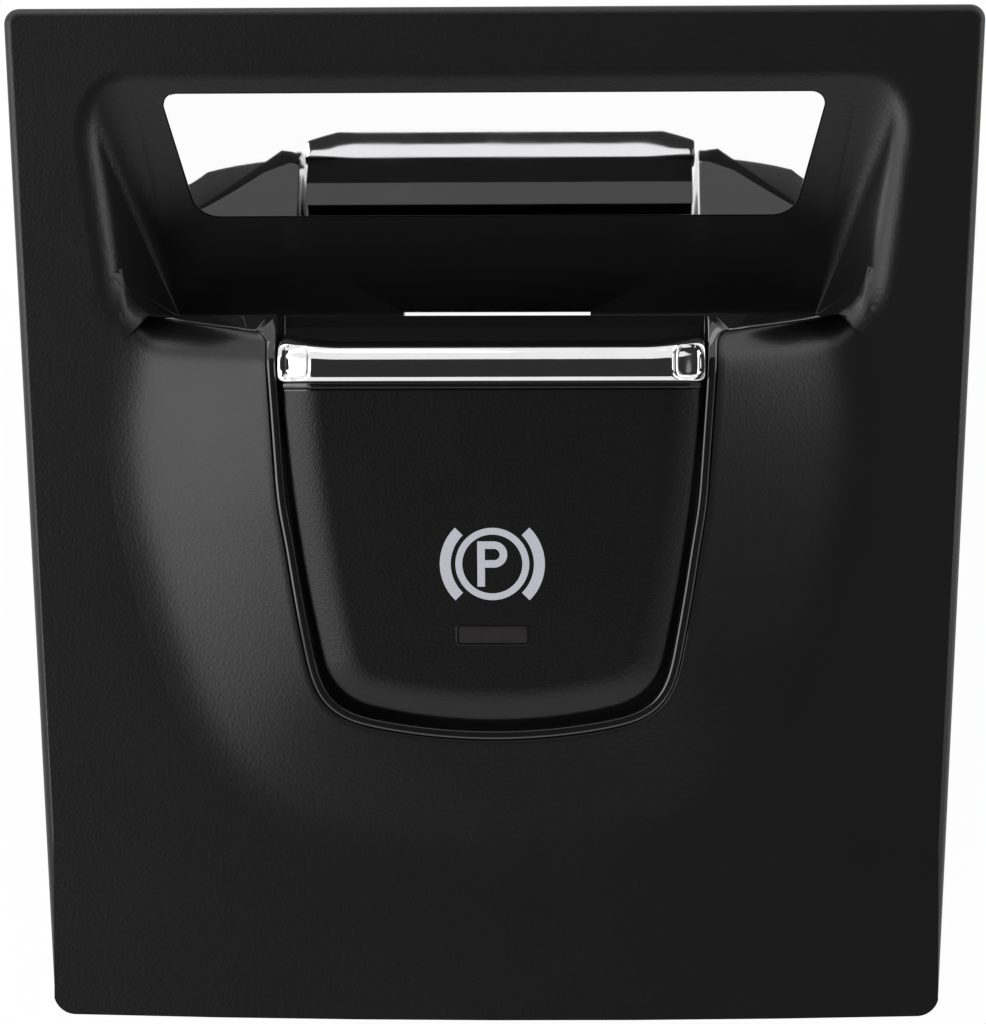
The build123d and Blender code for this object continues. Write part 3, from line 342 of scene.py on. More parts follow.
def mergedCopy(nodeName):
    mesh = bmesh.new()
    mesh.from_mesh(nodes[nodeName].data)
    bmesh.ops.remove_doubles(mesh, verts=mesh.verts, dist=0.0004 * mm)
    return mesh


def bevelEdges(mesh, edges, width, segments):
    bmesh.ops.bevel(
        mesh, geom=edges, offset=width, offset_type="OFFSET", segments=segments, profile=0.5,
        affect="EDGES", clamp_overlap=True, material=-1,
    )


easedAngle = math.radians(40)  # sharper edges than this are eased


def softened(nodeName, pieceName, body, width, segments=2, smoothAngle=35, shape=None):
    # A node with its moulded edges eased
    mesh = mergedCopy(nodeName)
    if shape:
        shape(mesh)
    bmesh.ops.dissolve_limit(
        mesh, angle_limit=math.radians(1.0), verts=mesh.verts, edges=mesh.edges,
    )
    sharp = [
        edge for edge in mesh.edges
        if len(edge.link_faces) == 2 and edge.calc_face_angle() > easedAngle
    ]
    bevelEdges(mesh, sharp, width, segments)
    return finishPiece(
        mesh, pieceName, slotOf[nodeName], body, smoothAngle, [nodeName], turned=False
    )


# The lever's face: a plane that slopes up towards the pocket
lever = {"tilt": math.radians(9.5), "originZ": 44.957 * mm, "proud": 0.9 * mm}
leverPlane = (
    Matrix.Translation((0, 0, lever["originZ"]))
    @ Matrix.Rotation(lever["tilt"], 4, "X")
    @ Matrix.Translation((0, 0, lever["proud"]))
)

sign = {
    "centre": -3.95 * mm,
    "ringOuter": 3.2 * mm,
    "ringInner": 2.6 * mm,
    "arcOuter": 4.55 * mm,
    "arcInner": 3.6 * mm,
    "arcAngle": 45,
    "stroke": 0.66 * mm,
    "letterHeight": 4.0 * mm,
    "letterWidth": 2.6 * mm,
    "bowlShare": 0.58,
    "sink": 0.05 * mm,
    "rise": 0.02 * mm,
}


def spunBand(mesh, inner, outer, start, sweep, steps, centre=(0, 0)):
    # A flat band of an annulus, made by spinning one edge
    first = math.radians(start)
    edge = [
        mesh.verts.new((centre[0] + r * math.cos(first), centre[1] + r * math.sin(first), 0))
        for r in (inner, outer)
    ]
    line = mesh.edges.new(edge)
    bmesh.ops.spin(
        mesh, geom=edge + [line], cent=(centre[0], centre[1], 0), axis=(0, 0, 1),
        angle=math.radians(sweep), steps=steps, use_merge=abs(sweep) >= 360,
    )


def flatBar(mesh, length, height, middleX, middleY):
    bar = bmesh.ops.create_grid(mesh, x_segments=1, y_segments=1, size=0.5)["verts"]
    bmesh.ops.scale(mesh, verts=bar, vec=(length, height, 1))
    bmesh.ops.translate(mesh, verts=bar, vec=(middleX, middleY, 0))


def addLetter(mesh):
    # A stem, a half ring for the bowl, and two bars between them
    half = sign["letterHeight"] / 2
    bowl = sign["bowlShare"] * half
    stroke = sign["stroke"]
    left = -sign["letterWidth"] / 2
    bowlX = sign["letterWidth"] / 2 - bowl
    flatBar(mesh, stroke, 2 * half, left + stroke / 2, 0)
    spunBand(mesh, bowl - stroke, bowl, -90, 180, 20, (bowlX, half - bowl))
    length = bowlX - left - stroke
    for level in (half - stroke / 2, half - 2 * bowl + stroke / 2):
        flatBar(mesh, length, stroke, left + stroke + length / 2, level)


def makeBrakeSign():
    mesh = bmesh.new()
    spunBand(mesh, sign["ringInner"], sign["ringOuter"], 0, 360, 72)
    for side in (0, 180):
        spunBand(
            mesh, sign["arcInner"], sign["arcOuter"], side - sign["arcAngle"],
            2 * sign["arcAngle"], 24,
        )
    addLetter(mesh)
    bmesh.ops.remove_doubles(mesh, verts=mesh.verts, dist=0.002 * mm)
    raised = bmesh.ops.extrude_face_region(mesh, geom=mesh.faces[:])
    top = [v for v in raised["geom"] if isinstance(v, bmesh.types.BMVert)]
    bmesh.ops.translate(mesh, verts=top, vec=(0, 0, sign["sink"] + sign["rise"]))
    bmesh.ops.translate(mesh, verts=mesh.verts, vec=(0, sign["centre"], -sign["sink"]))
    bmesh.ops.transform(mesh, matrix=leverPlane, verts=mesh.verts)
    return mesh


signPrint()
finishPiece(makeBrakeSign(), "brakeSign", "signPrint", "lever")
print("sign made")

# Matt cap: a flat face whose border rolls off softly into the sides
leverFace = {
    "border": -0.65 * mm,
    "lowered": -1.30 * mm,
    "rearWall": 0.8 * mm,
    "matteEndY": 10.95 * mm,
    "stretch": 5.0 * mm,
    "roll": (  # width and rise of each step from the edge inwards
        (0.08, 0.16), (0.22, 0.16), (0.45, 0.25), (0.60, 0.27), (0.60, 0.22),
        (0.50, 0.13), (0.45, 0.08), (0.50, 0.03),
    ),
    "windowY": -10.25 * mm,
    "windowHalf": (3.0 * mm, 0.75 * mm),
    "windowMargin": 0.1 * mm,
}


def madeAnew(face, rearEnd):
    # The node's top, its rear wall and what is under the window are replaced
    middle = face.calc_center_median()
    top = face.normal.z > 0.2 and middle.z > leverFace["border"] - 0.01 * mm
    rear = face.normal.y > 0.9 and middle.y > rearEnd
    return top or rear or insideWindow(middle, leverFace["windowMargin"])


def loweredRim(mesh):
    # The open border of the cap, sunk to where the roll starts
    border = leverFace["border"]
    rim = [
        edge for edge in mesh.edges
        if edge.is_boundary and all(abs(vert.co.z - border) < 0.02 * mm for vert in edge.verts)
    ]
    sunk = {vert for edge in rim for vert in edge.verts}
    bmesh.ops.translate(mesh, verts=list(sunk), vec=(0, 0, leverFace["lowered"] - border))
    return rim


def flatLid(mesh, rim):
    # One face inside a copy of the rim, drawn out past the rear end
    copied = bmesh.ops.duplicate(mesh, geom=rim)["geom"]
    outline = [part for part in copied if isinstance(part, bmesh.types.BMEdge)]
    ends = [
        part for part in copied
        if isinstance(part, bmesh.types.BMVert) and len(part.link_edges) == 1
    ]
    bmesh.ops.translate(mesh, verts=ends, vec=(0, leverFace["stretch"], 0))
    outline.append(mesh.edges.new(ends))
    faces = bmesh.ops.contextual_create(mesh, geom=outline)["faces"]
    bmesh.ops.recalc_face_normals(mesh, faces=faces)
    if faces[0].normal.z < 0:
        bmesh.ops.reverse_faces(mesh, faces=faces)
    return faces


def makeLeverFace():
    mesh = mergedCopy("lever_cap")
    bmesh.ops.transform(mesh, matrix=leverPlane.inverted(), verts=mesh.verts)
    rearEnd = max(vert.co.y for vert in mesh.verts) - leverFace["rearWall"]
    gone = [face for face in mesh.faces if madeAnew(face, rearEnd)]
    bmesh.ops.delete(mesh, geom=gone, context="FACES")
    faces = flatLid(mesh, loweredRim(mesh))
    scale = -leverFace["lowered"] / sum(rise * mm for width, rise in leverFace["roll"])
    for width, rise in leverFace["roll"]:
        bmesh.ops.inset_region(
            mesh, faces=faces, thickness=width * mm, depth=rise * mm * scale,
            use_boundary=True, use_even_offset=True,
        )
    return mesh


def insideWindow(place, margin=0.0):
    halfX, halfY = leverFace["windowHalf"]
    return abs(place.x) < halfX + margin and abs(place.y - leverFace["windowY"]) < halfY + margin


def cutAcross(mesh, place, normal, clear=False):
    bmesh.ops.bisect_plane(
        mesh, geom=mesh.verts[:] + mesh.edges[:] + mesh.faces[:], dist=0.0001 * mm,
        plane_co=place, plane_no=normal, clear_outer=clear,
    )


def openWindow(mesh):
    halfX, halfY = leverFace["windowHalf"]
    middle = Vector((0, leverFace["windowY"], 0))
    for sideX, sideY in ((1, 0), (-1, 0), (0, 1), (0, -1)):
        edge = middle + Vector((sideX * halfX, sideY * halfY, 0))
        cutAcross(mesh, edge, (sideX, sideY, 0))
    inner = [
        face for face in mesh.faces
        if insideWindow(face.calc_center_median()) and face.normal.z > 0.9
        and face.calc_center_median().z > -0.1 * mm
    ]
    sunk = bmesh.ops.extrude_face_region(mesh, geom=inner)["geom"]
    down = [part for part in sunk if isinstance(part, bmesh.types.BMVert)]
    bmesh.ops.translate(mesh, verts=down, vec=(0, 0, leverFace["border"]))
    bmesh.ops.delete(
        mesh, geom=inner + [part for part in sunk if isinstance(part, bmesh.types.BMFace)],
        context="FACES",
    )


faceMesh = makeLeverFace()
openWindow(faceMesh)
bmesh.ops.transform(faceMesh, matrix=leverPlane, verts=faceMesh.verts)
cutAcross(faceMesh, (0, leverFace["matteEndY"], 0), (0, 1, 0), clear=True)
bmesh.ops.remove_doubles(faceMesh, verts=faceMesh.verts, dist=0.001 * mm)
finishPiece(
    faceMesh, "leverFace", "lever_black", "lever", 38, ["lever_cap"], turned=False,
)
print("lever face made")


def sweptBar(section, stations, place):
    # A closed section, repeated along X; place moves each of its points
    mesh = bmesh.new()
    across = len(stations) - 1
    around = len(section)
    bmesh.ops.create_grid(mesh, x_segments=across, y_segments=around, size=0.5)
    for vert in mesh.verts:
        station = stations[round((vert.co.x + 0.5) * across)]
        y, z = section[round((vert.co.y + 0.5) * around) % around]
        vert.co = place(station, y, z)
    bmesh.ops.remove_doubles(mesh, verts=mesh.verts, dist=0.0005 * mm)
    bmesh.ops.holes_fill(mesh, edges=[edge for edge in mesh.edges if edge.is_boundary], sides=0)
    return mesh


def curve(*knots, steps):
    # Points of a chain of Bezier pieces: knot, handle, handle, knot, ...
    points = []
    for first in range(0, len(knots) - 1, 3):
        four = [Vector((0, *knot)) for knot in knots[first:first + 4]]
        part = interpolate_bezier(*four, steps)
        points += [(point.y, point.z) for point in part[:-1]]
    return points + [knots[-1]]


def ease(value):
    value = min(max(value, 0.0), 1.0)
    return value * value * (3 - 2 * value)


# Chrome edge: a crowned bar with a dimpled pad at each end that drops outwards
chromeTrim = {
    "half": 18.3 * mm,
    "height": 2.87 * mm,
    "padStart": 15.0 * mm,
    "padDrop": 1.35 * mm,
    "padReach": 1.15,
    "flareStart": 13.0 * mm,
    "flare": 0.45 * mm,
    "crownY": 13.1 * mm,
    "rearY": 15.25 * mm,
    "foot": 46.33 * mm,
    "dimpleX": 16.75 * mm,
    "dimpleY": 13.35 * mm,
    "dimpleHalf": (1.2 * mm, 1.45 * mm),
    "dimpleDepth": 0.5 * mm,
    "dimpleEdge": 1.15,
    "dimpleLean": 0.25,
    "endRound": 0.7 * mm,
    "endNarrow": 0.26,
    "endSteps": (0.0, 0.02, 0.08, 0.18, 0.32, 0.5, 0.72, 1.0),
    "endBevel": 0.12 * mm,
    "endBevelFromZ": 45.6 * mm,
    "padStations": 36,
    "stations": 20,
}


def trimDimple(x, y):
    # How deep the pad is dimpled there
    dx = (abs(x) - chromeTrim["dimpleX"]) / chromeTrim["dimpleHalf"][0]
    dy = (y - chromeTrim["dimpleY"]) / chromeTrim["dimpleHalf"][1]
    lean = 1 - chromeTrim["dimpleLean"] * (dx if x > 0 else -dx)
    return chromeTrim["dimpleDepth"] * ease(chromeTrim["dimpleEdge"] - dx ** 4 - dy ** 4) * lean


def trimPlace(x, y, z):
    half, foot = chromeTrim["half"], chromeTrim["foot"]
    flareStart, padStart = chromeTrim["flareStart"], chromeTrim["padStart"]
    reach = ease((abs(x) - flareStart) / (half - flareStart))
    back = max(0.0, (y - chromeTrim["crownY"]) / (chromeTrim["rearY"] - chromeTrim["crownY"]))
    y += chromeTrim["flare"] * reach * back
    tip = min(max((abs(x) - half) / chromeTrim["endRound"] + 1, 0.0), 1.0)
    shrink = 1 - chromeTrim["endNarrow"] * (1 - math.sqrt(1 - tip * tip))
    y = chromeTrim["dimpleY"] + (y - chromeTrim["dimpleY"]) * shrink
    if z > foot:
        fall = ease((abs(x) - padStart) / (chromeTrim["padReach"] * (half - padStart)))
        z -= chromeTrim["padDrop"] * fall * (z - foot) / chromeTrim["height"]
        z -= trimDimple(x, y)
    return (x, y, z)


trimSection = curve(
    (11.70, 48.55), (11.72, 48.75), (11.75, 48.82), (11.86, 48.92),
    (12.2, 49.11), (12.5, 49.2), (12.9, 49.2),
    (13.6, 49.2), (14.25, 48.87), (14.6, 48.45),
    (14.7, 48.3), (14.78, 48.0), (14.86, 47.7),
    (14.98, 47.2), (15.14, 46.4), (15.26, 45.5), steps=9,
) + [(14.0, 45.5), (13.6, 46.33), (11.72, 46.33), (11.70, 47.4)]
trimSection = [(y * mm, z * mm) for y, z in trimSection]


def trimStations():
    # Close together on both pads, wide apart between them
    half, flareStart = chromeTrim["half"], chromeTrim["flareStart"]
    count, padCount = chromeTrim["stations"], chromeTrim["padStations"]
    end = [half - part * chromeTrim["endRound"] for part in chromeTrim["endSteps"]]
    pad = (flareStart - end[-1]) / padCount
    end += [end[-1] + pad * index for index in range(1, padCount + 1)]
    middle = [flareStart * (2 * index / count - 1) for index in range(1, count)]
    return [-place for place in end] + middle + end[::-1]


trimMesh = sweptBar(trimSection, trimStations(), trimPlace)
ends = [
    edge for edge in trimMesh.edges
    if min(abs(vert.co.x) for vert in edge.verts) > chromeTrim["half"] - 0.01 * mm
    and max(vert.co.z for vert in edge.verts) > chromeTrim["endBevelFromZ"]
]
bevelEdges(trimMesh, ends, chromeTrim["endBevel"], 3)
finishPiece(trimMesh, "chromeEdge", "chrome", "lever", 42, ["chrome_trim"])

# Gloss step between the matt cap and the chrome, with a fine groove
glossStep = {
    "half": 17.95 * mm,
    "capHalf": 18.07 * mm,
    "stations": 24,
    "section": (  # place up the face and height over it
        (10.86, -0.9), (10.86, -0.10), (10.93, -0.22), (11.05, -0.24), (11.14, -0.12),
        (11.26, -0.05), (11.55, -0.05), (11.64, -0.12), (11.72, -0.30), (11.72, -0.9),
    ),
}


def stepPlace(x, y, z):
    # both ends follow the cap's border down
    inwards = (glossStep["capHalf"] - abs(x)) / mm
    level = (leverPlane @ Vector((0, y, 0))).z
    outer = sum(width for width, rise in leverFace["roll"])
    drop = 0.0
    for width, rise in reversed(leverFace["roll"]):
        if inwards < outer:
            drop += rise * min(1.0, (outer - inwards) / width)
        outer -= width
    return (x, y, level + z - drop * mm)


stepSection = [(y * mm, z * mm) for y, z in glossStep["section"]]
stepStations = [
    glossStep["half"] * (2 * index / glossStep["stations"] - 1)
    for index in range(glossStep["stations"] + 1)
]
finishPiece(
    sweptBar(stepSection, stepStations, stepPlace), "glossStep", "gloss_black", "lever", 50,
)

# Small dark window with a thin raised rim
indicator = {
    "placeY": -10.25 * mm,
    "rim": (6.4 * mm, 1.9 * mm, 0.30 * mm),
    "rimProud": 0.04 * mm,
    "rimWidth": 0.17 * mm,
    "rimCorner": 0.32 * mm,
    "rimEdge": 0.03 * mm,
    "rimDepth": 0.14 * mm,
    "lens": (5.98 * mm, 1.48 * mm, 0.60 * mm),
    "lensSunk": 0.03 * mm,
    "lensCorner": 0.16 * mm,
    "lensEdge": 0.05 * mm,
}


def roundedBlock(size, top, corner, edge):
    mesh = bmesh.new()
    bmesh.ops.create_cube(mesh, size=1.0)
    bmesh.ops.scale(mesh, verts=mesh.verts, vec=size)
    bmesh.ops.translate(mesh, verts=mesh.verts, vec=(0, 0, top - size[2] / 2))
    upright = [
        item for item in mesh.edges
        if abs(item.verts[0].co.z - item.verts[1].co.z) > size[2] / 2
    ]
    bevelEdges(mesh, upright, corner, 5)
    rim = [
        item for item in mesh.edges
        if min(vert.co.z for vert in item.verts) > top - 0.001 * mm
    ]
    bevelEdges(mesh, rim, edge, 2)
    return mesh


rimMesh = roundedBlock(
    indicator["rim"], indicator["rimProud"], indicator["rimCorner"], indicator["rimEdge"]
)
lid = [max(rimMesh.faces, key=lambda face: face.calc_center_median().z + face.calc_area())]
for width, depth in ((indicator["rimWidth"], 0.0), (0.01 * mm, -indicator["rimDepth"])):
    bmesh.ops.inset_region(
        rimMesh, faces=lid, thickness=width, depth=depth, use_even_offset=True,
    )
lensMesh = roundedBlock(
    indicator["lens"], -indicator["lensSunk"], indicator["lensCorner"], indicator["lensEdge"]
)
for mesh in (rimMesh, lensMesh):
    bmesh.ops.translate(mesh, verts=mesh.verts, vec=(0, indicator["placeY"], 0))
    bmesh.ops.transform(mesh, matrix=leverPlane, verts=mesh.verts)
finishPiece(rimMesh, "indicatorRim", "gloss_black", "lever", 30)
finishPiece(lensMesh, "indicatorGlass", "smoke_lens", "lever", 40, ["indicator_lens"])
print("lever trim made")

# The gloss rest under the chrome
fingerRest = {
    "edge": 0.30 * mm,
    "backFromY": 15.9 * mm,
    "bendZ": 43.0 * mm,
    "bendDrop": 1.5 * mm,
    "footDrop": 1.9 * mm,
}


def deepBack(mesh):
    # The rest slopes back, then drops upright to a thin lip
    for vert in mesh.verts:
        if vert.co.y > fingerRest["backFromY"]:
            atBend = vert.co.z > fingerRest["bendZ"]
            vert.co.z -= fingerRest["bendDrop" if atBend else "footDrop"]


softened(
    "finger_grip", "fingerRest", "lever", fingerRest["edge"], 5, smoothAngle=20, shape=deepBack,
)

# Nodes whose moulded edges only need easing: piece, body and width
easedNodes = {
    "pocket_mirror": ("mirrorPlate", "root", 0.10),
    "switch_housing": ("switchBlock", "root", 0.14),
    "rear_cover": ("blockCover", "root", 0.14),
    "connector_header": ("cableSocket", "root", 0.12),
    "pull_switch": ("pullSwitchBody", "root", 0.10),
    "release_switch": ("releaseSwitchBody", "root", 0.10),
    "lever_carrier": ("leverCarrier", "lever", 0.12),
    "stop_pads": ("stopPads", "root", 0.15),
    "retaining_clips": ("springClips", "root", 0.07),
}
for easedNode, (pieceName, body, width) in easedNodes.items():
    softened(easedNode, pieceName, body, width * mm)
print("nodes eased")

# Panel: the moulded plate, and the soft swelling that climbs to the lever
swelling = {
    "stations": 168,
    "rows": 30,
    "faceZ": 40.0 * mm,
    "cutZ": 41.0 * mm,
    "openingFootY": -19.75 * mm,
    "openingHalf": 18.65,  # half the opening's width at openingMiddleY, then how it changes
    "openingMiddleY": -0.7,
    "openingTaper": 0.1228,
    "openingBow": -0.00305,
    "openingStart": 0.9,
    "footY": -31.7 * mm,
    "plateToY": 17.7 * mm,
    "outer": (  # half width of the swelling's foot for each Y
        (17.7, 30.6), (16.2, 32.3), (14.6, 34.0), (11.5, 34.9), (3.2, 33.9), (-5.9, 32.2),
        (-14.6, 29.6), (-19.7, 26.8), (-24.2, 22.8), (-27.5, 18.2), (-29.6, 13.2), (-31.0, 7.6),
        (-31.6, 2.0), (-31.7, 0.0),
    ),
    "widest": 22 * mm,
    "searchStep": 0.05 * mm,
    "edgeRear": 17.6 * mm,
    "edgeDip": 2.8 * mm,
    "edgeHalf": 30.3 * mm,
    "edgeBeyond": (  # the edge goes on as the pocket's lip
        (30.3, 17.6), (30.5, 17.85), (30.95, 18.2), (31.5, 18.55), (32.0, 19.1), (32.4, 20.0),
        (32.65, 21.0), (32.9, 22.4),
    ),
    "edgeRows": ((0.0, 1.0), (0.35, 0.3), (1.0, 0.0)),  # out and down, in edgeRound
    "edgeRound": 0.14 * mm,
    "endSteps": (
        0.0, 0.04, 0.10, 0.18, 0.28, 0.40, 0.55, 0.72, 0.90, 1.15, 1.45, 1.8, 2.2, 2.7, 3.3, 4.0,
    ),
    "cornerRound": 0.9 * mm,
    "fan": 9.0 * mm,
    "beyondFoot": (1.9 * mm, 3.1 * mm),  # at the rear tips, and how much more beside them
    "beyondGrows": 2.5 * mm,
    "beyondEnds": (6.0 * mm, 12.0 * mm),
    "knee": 0.82,
    "kneeSoft": 0.17,
    "rollFromY": 9.0 * mm,
    "rollNearLever": (  # distance from the edge and how far the surface is down there
        (0.0, 1.74), (0.5, 1.42), (1.0, 1.10), (1.5, 0.78), (2.0, 0.47), (2.5, 0.22), (3.0, 0.07),
        (3.5, 0.01), (4.0, 0.0),
    ),
    "rollNearLip": 3.0,
    "rollLipSpare": 0.18,
    "lipFromX": (29.6 * mm, 31.6 * mm),
    "lift": 0.08 * mm,
    "liftFromX": (29.0 * mm, 30.0 * mm),
    "liftRoll": 0.1 * mm,
    "liftRows": 5,
    "skirt": 1.6 * mm,
    "skirtInside": 0.6 * mm,
    "skirtFromY": -31.0 * mm,
    "bandHalf": 30.35 * mm,
}


def tableValue(table, key):
    # Straight steps between the entries of a table, both in millimetres
    for (firstKey, firstValue), (nextKey, nextValue) in zip(table, table[1:]):
        if min(firstKey, nextKey) <= key <= max(firstKey, nextKey):
            part = (key - firstKey) / (nextKey - firstKey)
            return firstValue + part * (nextValue - firstValue)
    return table[0][1] if abs(key - table[0][0]) < abs(key - table[-1][0]) else table[-1][1]


def between(limits, value):
    # 0 up to the first limit, 1 past the second, soft in between
    return ease((value - limits[0]) / (limits[1] - limits[0]))


def openingHalf(y):
    # A little more than half the opening's width at one place up the face
    up = y / mm - swelling["openingMiddleY"]
    change = swelling["openingTaper"] * up + swelling["openingBow"] * up * up
    return (swelling["openingHalf"] + change) * mm


def footHalf(y):
    return tableValue(swelling["outer"], y / mm) * mm


def rearEdge(x):
    if abs(x) > swelling["edgeHalf"]:
        return tableValue(swelling["edgeBeyond"], abs(x) / mm) * mm
    part = abs(x) / swelling["edgeHalf"]
    return swelling["edgeRear"] - swelling["edgeDip"] * (1 - part * part)


def openingPath():
    # The lever opening's edge, from its right rear end round the foot to the left
    mesh = mergedCopy("fascia_panel")
    cut = bmesh.ops.bisect_plane(
        mesh, geom=mesh.verts[:] + mesh.edges[:] + mesh.faces[:], dist=0.0001 * mm,
        plane_co=(0, 0, swelling["cutZ"]), plane_no=(0, 0, 1),
    )["geom_cut"]
    places = {
        (round(part.co.x, 7), round(part.co.y, 7)) for part in cut
        if isinstance(part, bmesh.types.BMVert)
        and abs(part.co.x) < openingHalf(part.co.y) and part.co.y > swelling["openingFootY"]
    }
    mesh.free()
    start = swelling["openingStart"]
    ordered = sorted(places, key=lambda p: (start - math.atan2(p[1], p[0])) % (2 * math.pi))
    line = [Vector(place) for place in ordered]
    rearX, rearY = line[0].x, rearEdge(line[0].x)
    line = [p for p in line if p.y < rearY - 0.05 * mm]
    return [Vector((rearX, rearY))] + line + [Vector((-rearX, rearY))]


def stationSteps(line):
    # Points along the line, close together at both ends, and how far each is from its end
    reach = [0.0]
    for first, second in zip(line, line[1:]):
        reach.append(reach[-1] + (second - first).length)
    near = [item * mm for item in swelling["endSteps"]]
    count = swelling["stations"]
    middle = reach[-1] - 2 * near[-1]
    marks = near + [near[-1] + middle * step / count for step in range(1, count)]
    marks += [reach[-1] - item for item in reversed(near)]
    points = []
    index = 0
    for target in marks:
        while index < len(reach) - 2 and reach[index + 1] < target:
            index += 1
        span = max(reach[index + 1] - reach[index], 1e-9)
        points.append(line[index].lerp(line[index + 1], (target - reach[index]) / span))
    return points, [min(mark, reach[-1] - mark) for mark in marks]


def averaged(values, width, rounds):
    # Moving average that leaves both ends where they are
    last = len(values) - 1
    for repeat in range(rounds):
        held = values[:]
        for index in range(1, last):
            near = min(width, index, last - index)
            window = held[index - near:index + near + 1]
            values[index] = sum(window[1:], window[0]) / len(window)
    return values


edgeLine = [Vector((x * mm, rearEdge(x * mm))) for x in (index * 0.2 for index in range(90, 165))]


def edgeDistance(x, y):
    place = Vector((abs(x), y))
    nearest = min(range(1, len(edgeLine) - 1), key=lambda i: (edgeLine[i] - place).length_squared)
    found = []
    for first in (nearest - 1, nearest):
        start, way = edgeLine[first], edgeLine[first + 1] - edgeLine[first]
        along = min(max((place - start).dot(way) / way.length_squared, 0.0), 1.0)
        found.append((start + way * along - place).length)
    return min(found) / mm


def rollDrop(place):
    # How far the surface has rolled down towards the pocket
    if place.y < swelling["rollFromY"]:
        return 0.0
    far = edgeDistance(place.x, place.y)
    radius = swelling["rollNearLip"]
    inner = max(radius - far - swelling["rollLipSpare"], 0.0)
    lip = radius - math.sqrt(radius * radius - inner * inner)
    near = tableValue(swelling["rollNearLever"], far)
    return (near + (lip - near) * between(swelling["lipFromX"], abs(place.x))) * mm


def swellingHeight(place, crest, part):
    knee, soft = swelling["knee"], swelling["kneeSoft"]
    slope = [1 - value / knee for value in (part, 0.0, 1.0)]
    level, top, foot = [0.5 * (value + math.sqrt(value * value + soft * soft)) for value in slope]
    height = swelling["faceZ"] + (crest - swelling["faceZ"]) * (level - foot) / (top - foot)
    return max(height, swelling["faceZ"]) + 0.003 * mm - rollDrop(place)


def crestHeight(y):
    # The swelling meets the lever's face at its edge, without the lever's proud height
    return (leverPlane @ Vector((0, y, 0))).z - lever["proud"] / math.cos(lever["tilt"])


def lipLift(place, rowsLeft):
    # The skin stands just clear of the plate's own lip
    share = min(rollDrop(place) / swelling["liftRoll"], rowsLeft / swelling["liftRows"], 1.0)
    return swelling["lift"] * share * between(swelling["liftFromX"], abs(place.x))


def skinPath():
    # Points of the opening's edge, their distance from its ends, and the ways outward
    path, ends = stationSteps(openingPath())
    path = averaged(path, 3, 2)
    last = len(path) - 1
    outward = []
    for index in range(last + 1):
        along = (path[min(index + 2, last)] - path[max(index - 2, 0)]).normalized()
        outward.append(Vector((-along.y, along.x)))
    outward = [way.normalized() for way in averaged(outward, 7, 3)]
    radius = swelling["cornerRound"]
    for index, far in enumerate(ends):
        # the corner between the opening and the rear edge is rounded
        if far < radius:
            shift = radius - math.sqrt(radius * radius - (radius - far) ** 2)
            x = path[index].x + math.copysign(shift, path[index].x)
            path[index] = Vector((x, rearEdge(x) - far))
    return path, ends, outward


def skinSpot(point, way, fan, far):
    # Rows near the rear run along the pocket's edge
    place = point + way * far
    return Vector((place.x, place.y + fan * (rearEdge(place.x) - rearEdge(point.x))))


def footDistance(point, way, fan):
    far = 0.0
    while far < swelling["widest"]:
        place = skinSpot(point, way, fan, far)
        if place.y < swelling["footY"] or abs(place.x) > footHalf(place.y):
            break
        far += swelling["searchStep"]
    return far


def rowPlace(row, reach, end):
    # How far out a row lies, and how far its rounded edge is down
    edgeRound = swelling["edgeRound"]
    if row < len(swelling["edgeRows"]):
        out, down = swelling["edgeRows"][row]
        return edgeRound * out, edgeRound * down
    # beside the pocket the skin also covers the lip's corner
    least, more = swelling["beyondFoot"]
    beyond = least + more * ease(end / swelling["beyondGrows"])
    beyond *= 1 - between(swelling["beyondEnds"], end)
    part = (row - 2) / (swelling["rows"] - 2)
    return edgeRound + (reach + beyond - edgeRound) * part, 0.0


def onSkirt(edge):
    middle = (edge.verts[0].co + edge.verts[1].co) / 2
    outside = footHalf(middle.y) - swelling["skirtInside"]
    return middle.y > swelling["skirtFromY"] and abs(middle.x) < outside


def hangSkirt(mesh):
    inner = [edge for edge in mesh.edges if edge.is_boundary and onSkirt(edge)]
    hung = bmesh.ops.extrude_edge_only(mesh, edges=inner)["geom"]
    bmesh.ops.translate(
        mesh, verts=[part for part in hung if isinstance(part, bmesh.types.BMVert)],
        vec=(0, 0, -swelling["skirt"]),
    )


def makeSwelling():
    # Returns the skin and the line of its edge from one rear tip to the other
    path, ends, outward = skinPath()
    last, rows = len(path) - 1, swelling["rows"]
    fans = [ease(1 - end / swelling["fan"]) for end in ends]
    reach = averaged([footDistance(*spot) for spot in zip(path, outward, fans)], 7, 3)
    mesh = bmesh.new()
    bmesh.ops.create_grid(mesh, x_segments=last, y_segments=rows, size=0.5)
    border = {}
    for vert in mesh.verts:
        index = round((vert.co.x + 0.5) * last)
        row = round((vert.co.y + 0.5) * rows)
        far, drop = rowPlace(row, reach[index], ends[index])
        place = skinSpot(path[index], outward[index], fans[index], far)
        height = swellingHeight(place, crestHeight(path[index].y), far / reach[index])
        vert.co = (place.x, place.y, height - drop + lipLift(place, rows - row))
        if row == 0 or index in (0, last):
            border[(index, row)] = (vert.co.copy(), outward[index] if row == 0 else None)
    hangSkirt(mesh)
    line = [border[(0, row)] for row in range(rows, 0, -1)]
    line += [border[(index, 0)] for index in range(last + 1)]
    line += [border[(last, row)] for row in range(1, rows + 1)]
    return mesh, [item for item in line if abs(item[0].x) < swelling["bandHalf"]]


def underSkin(face):
    # The plate's own swelling, which the skin replaces
    middle = face.calc_center_median()
    above = middle.z > swelling["faceZ"] + 0.01 * mm
    return above and face.normal.z > 0.15 and middle.y < swelling["plateToY"]


def makePlate():
    mesh = mergedCopy("fascia_panel")
    swollen = [face for face in mesh.faces if underSkin(face)]
    bmesh.ops.delete(mesh, geom=swollen, context="FACES")
    return mesh


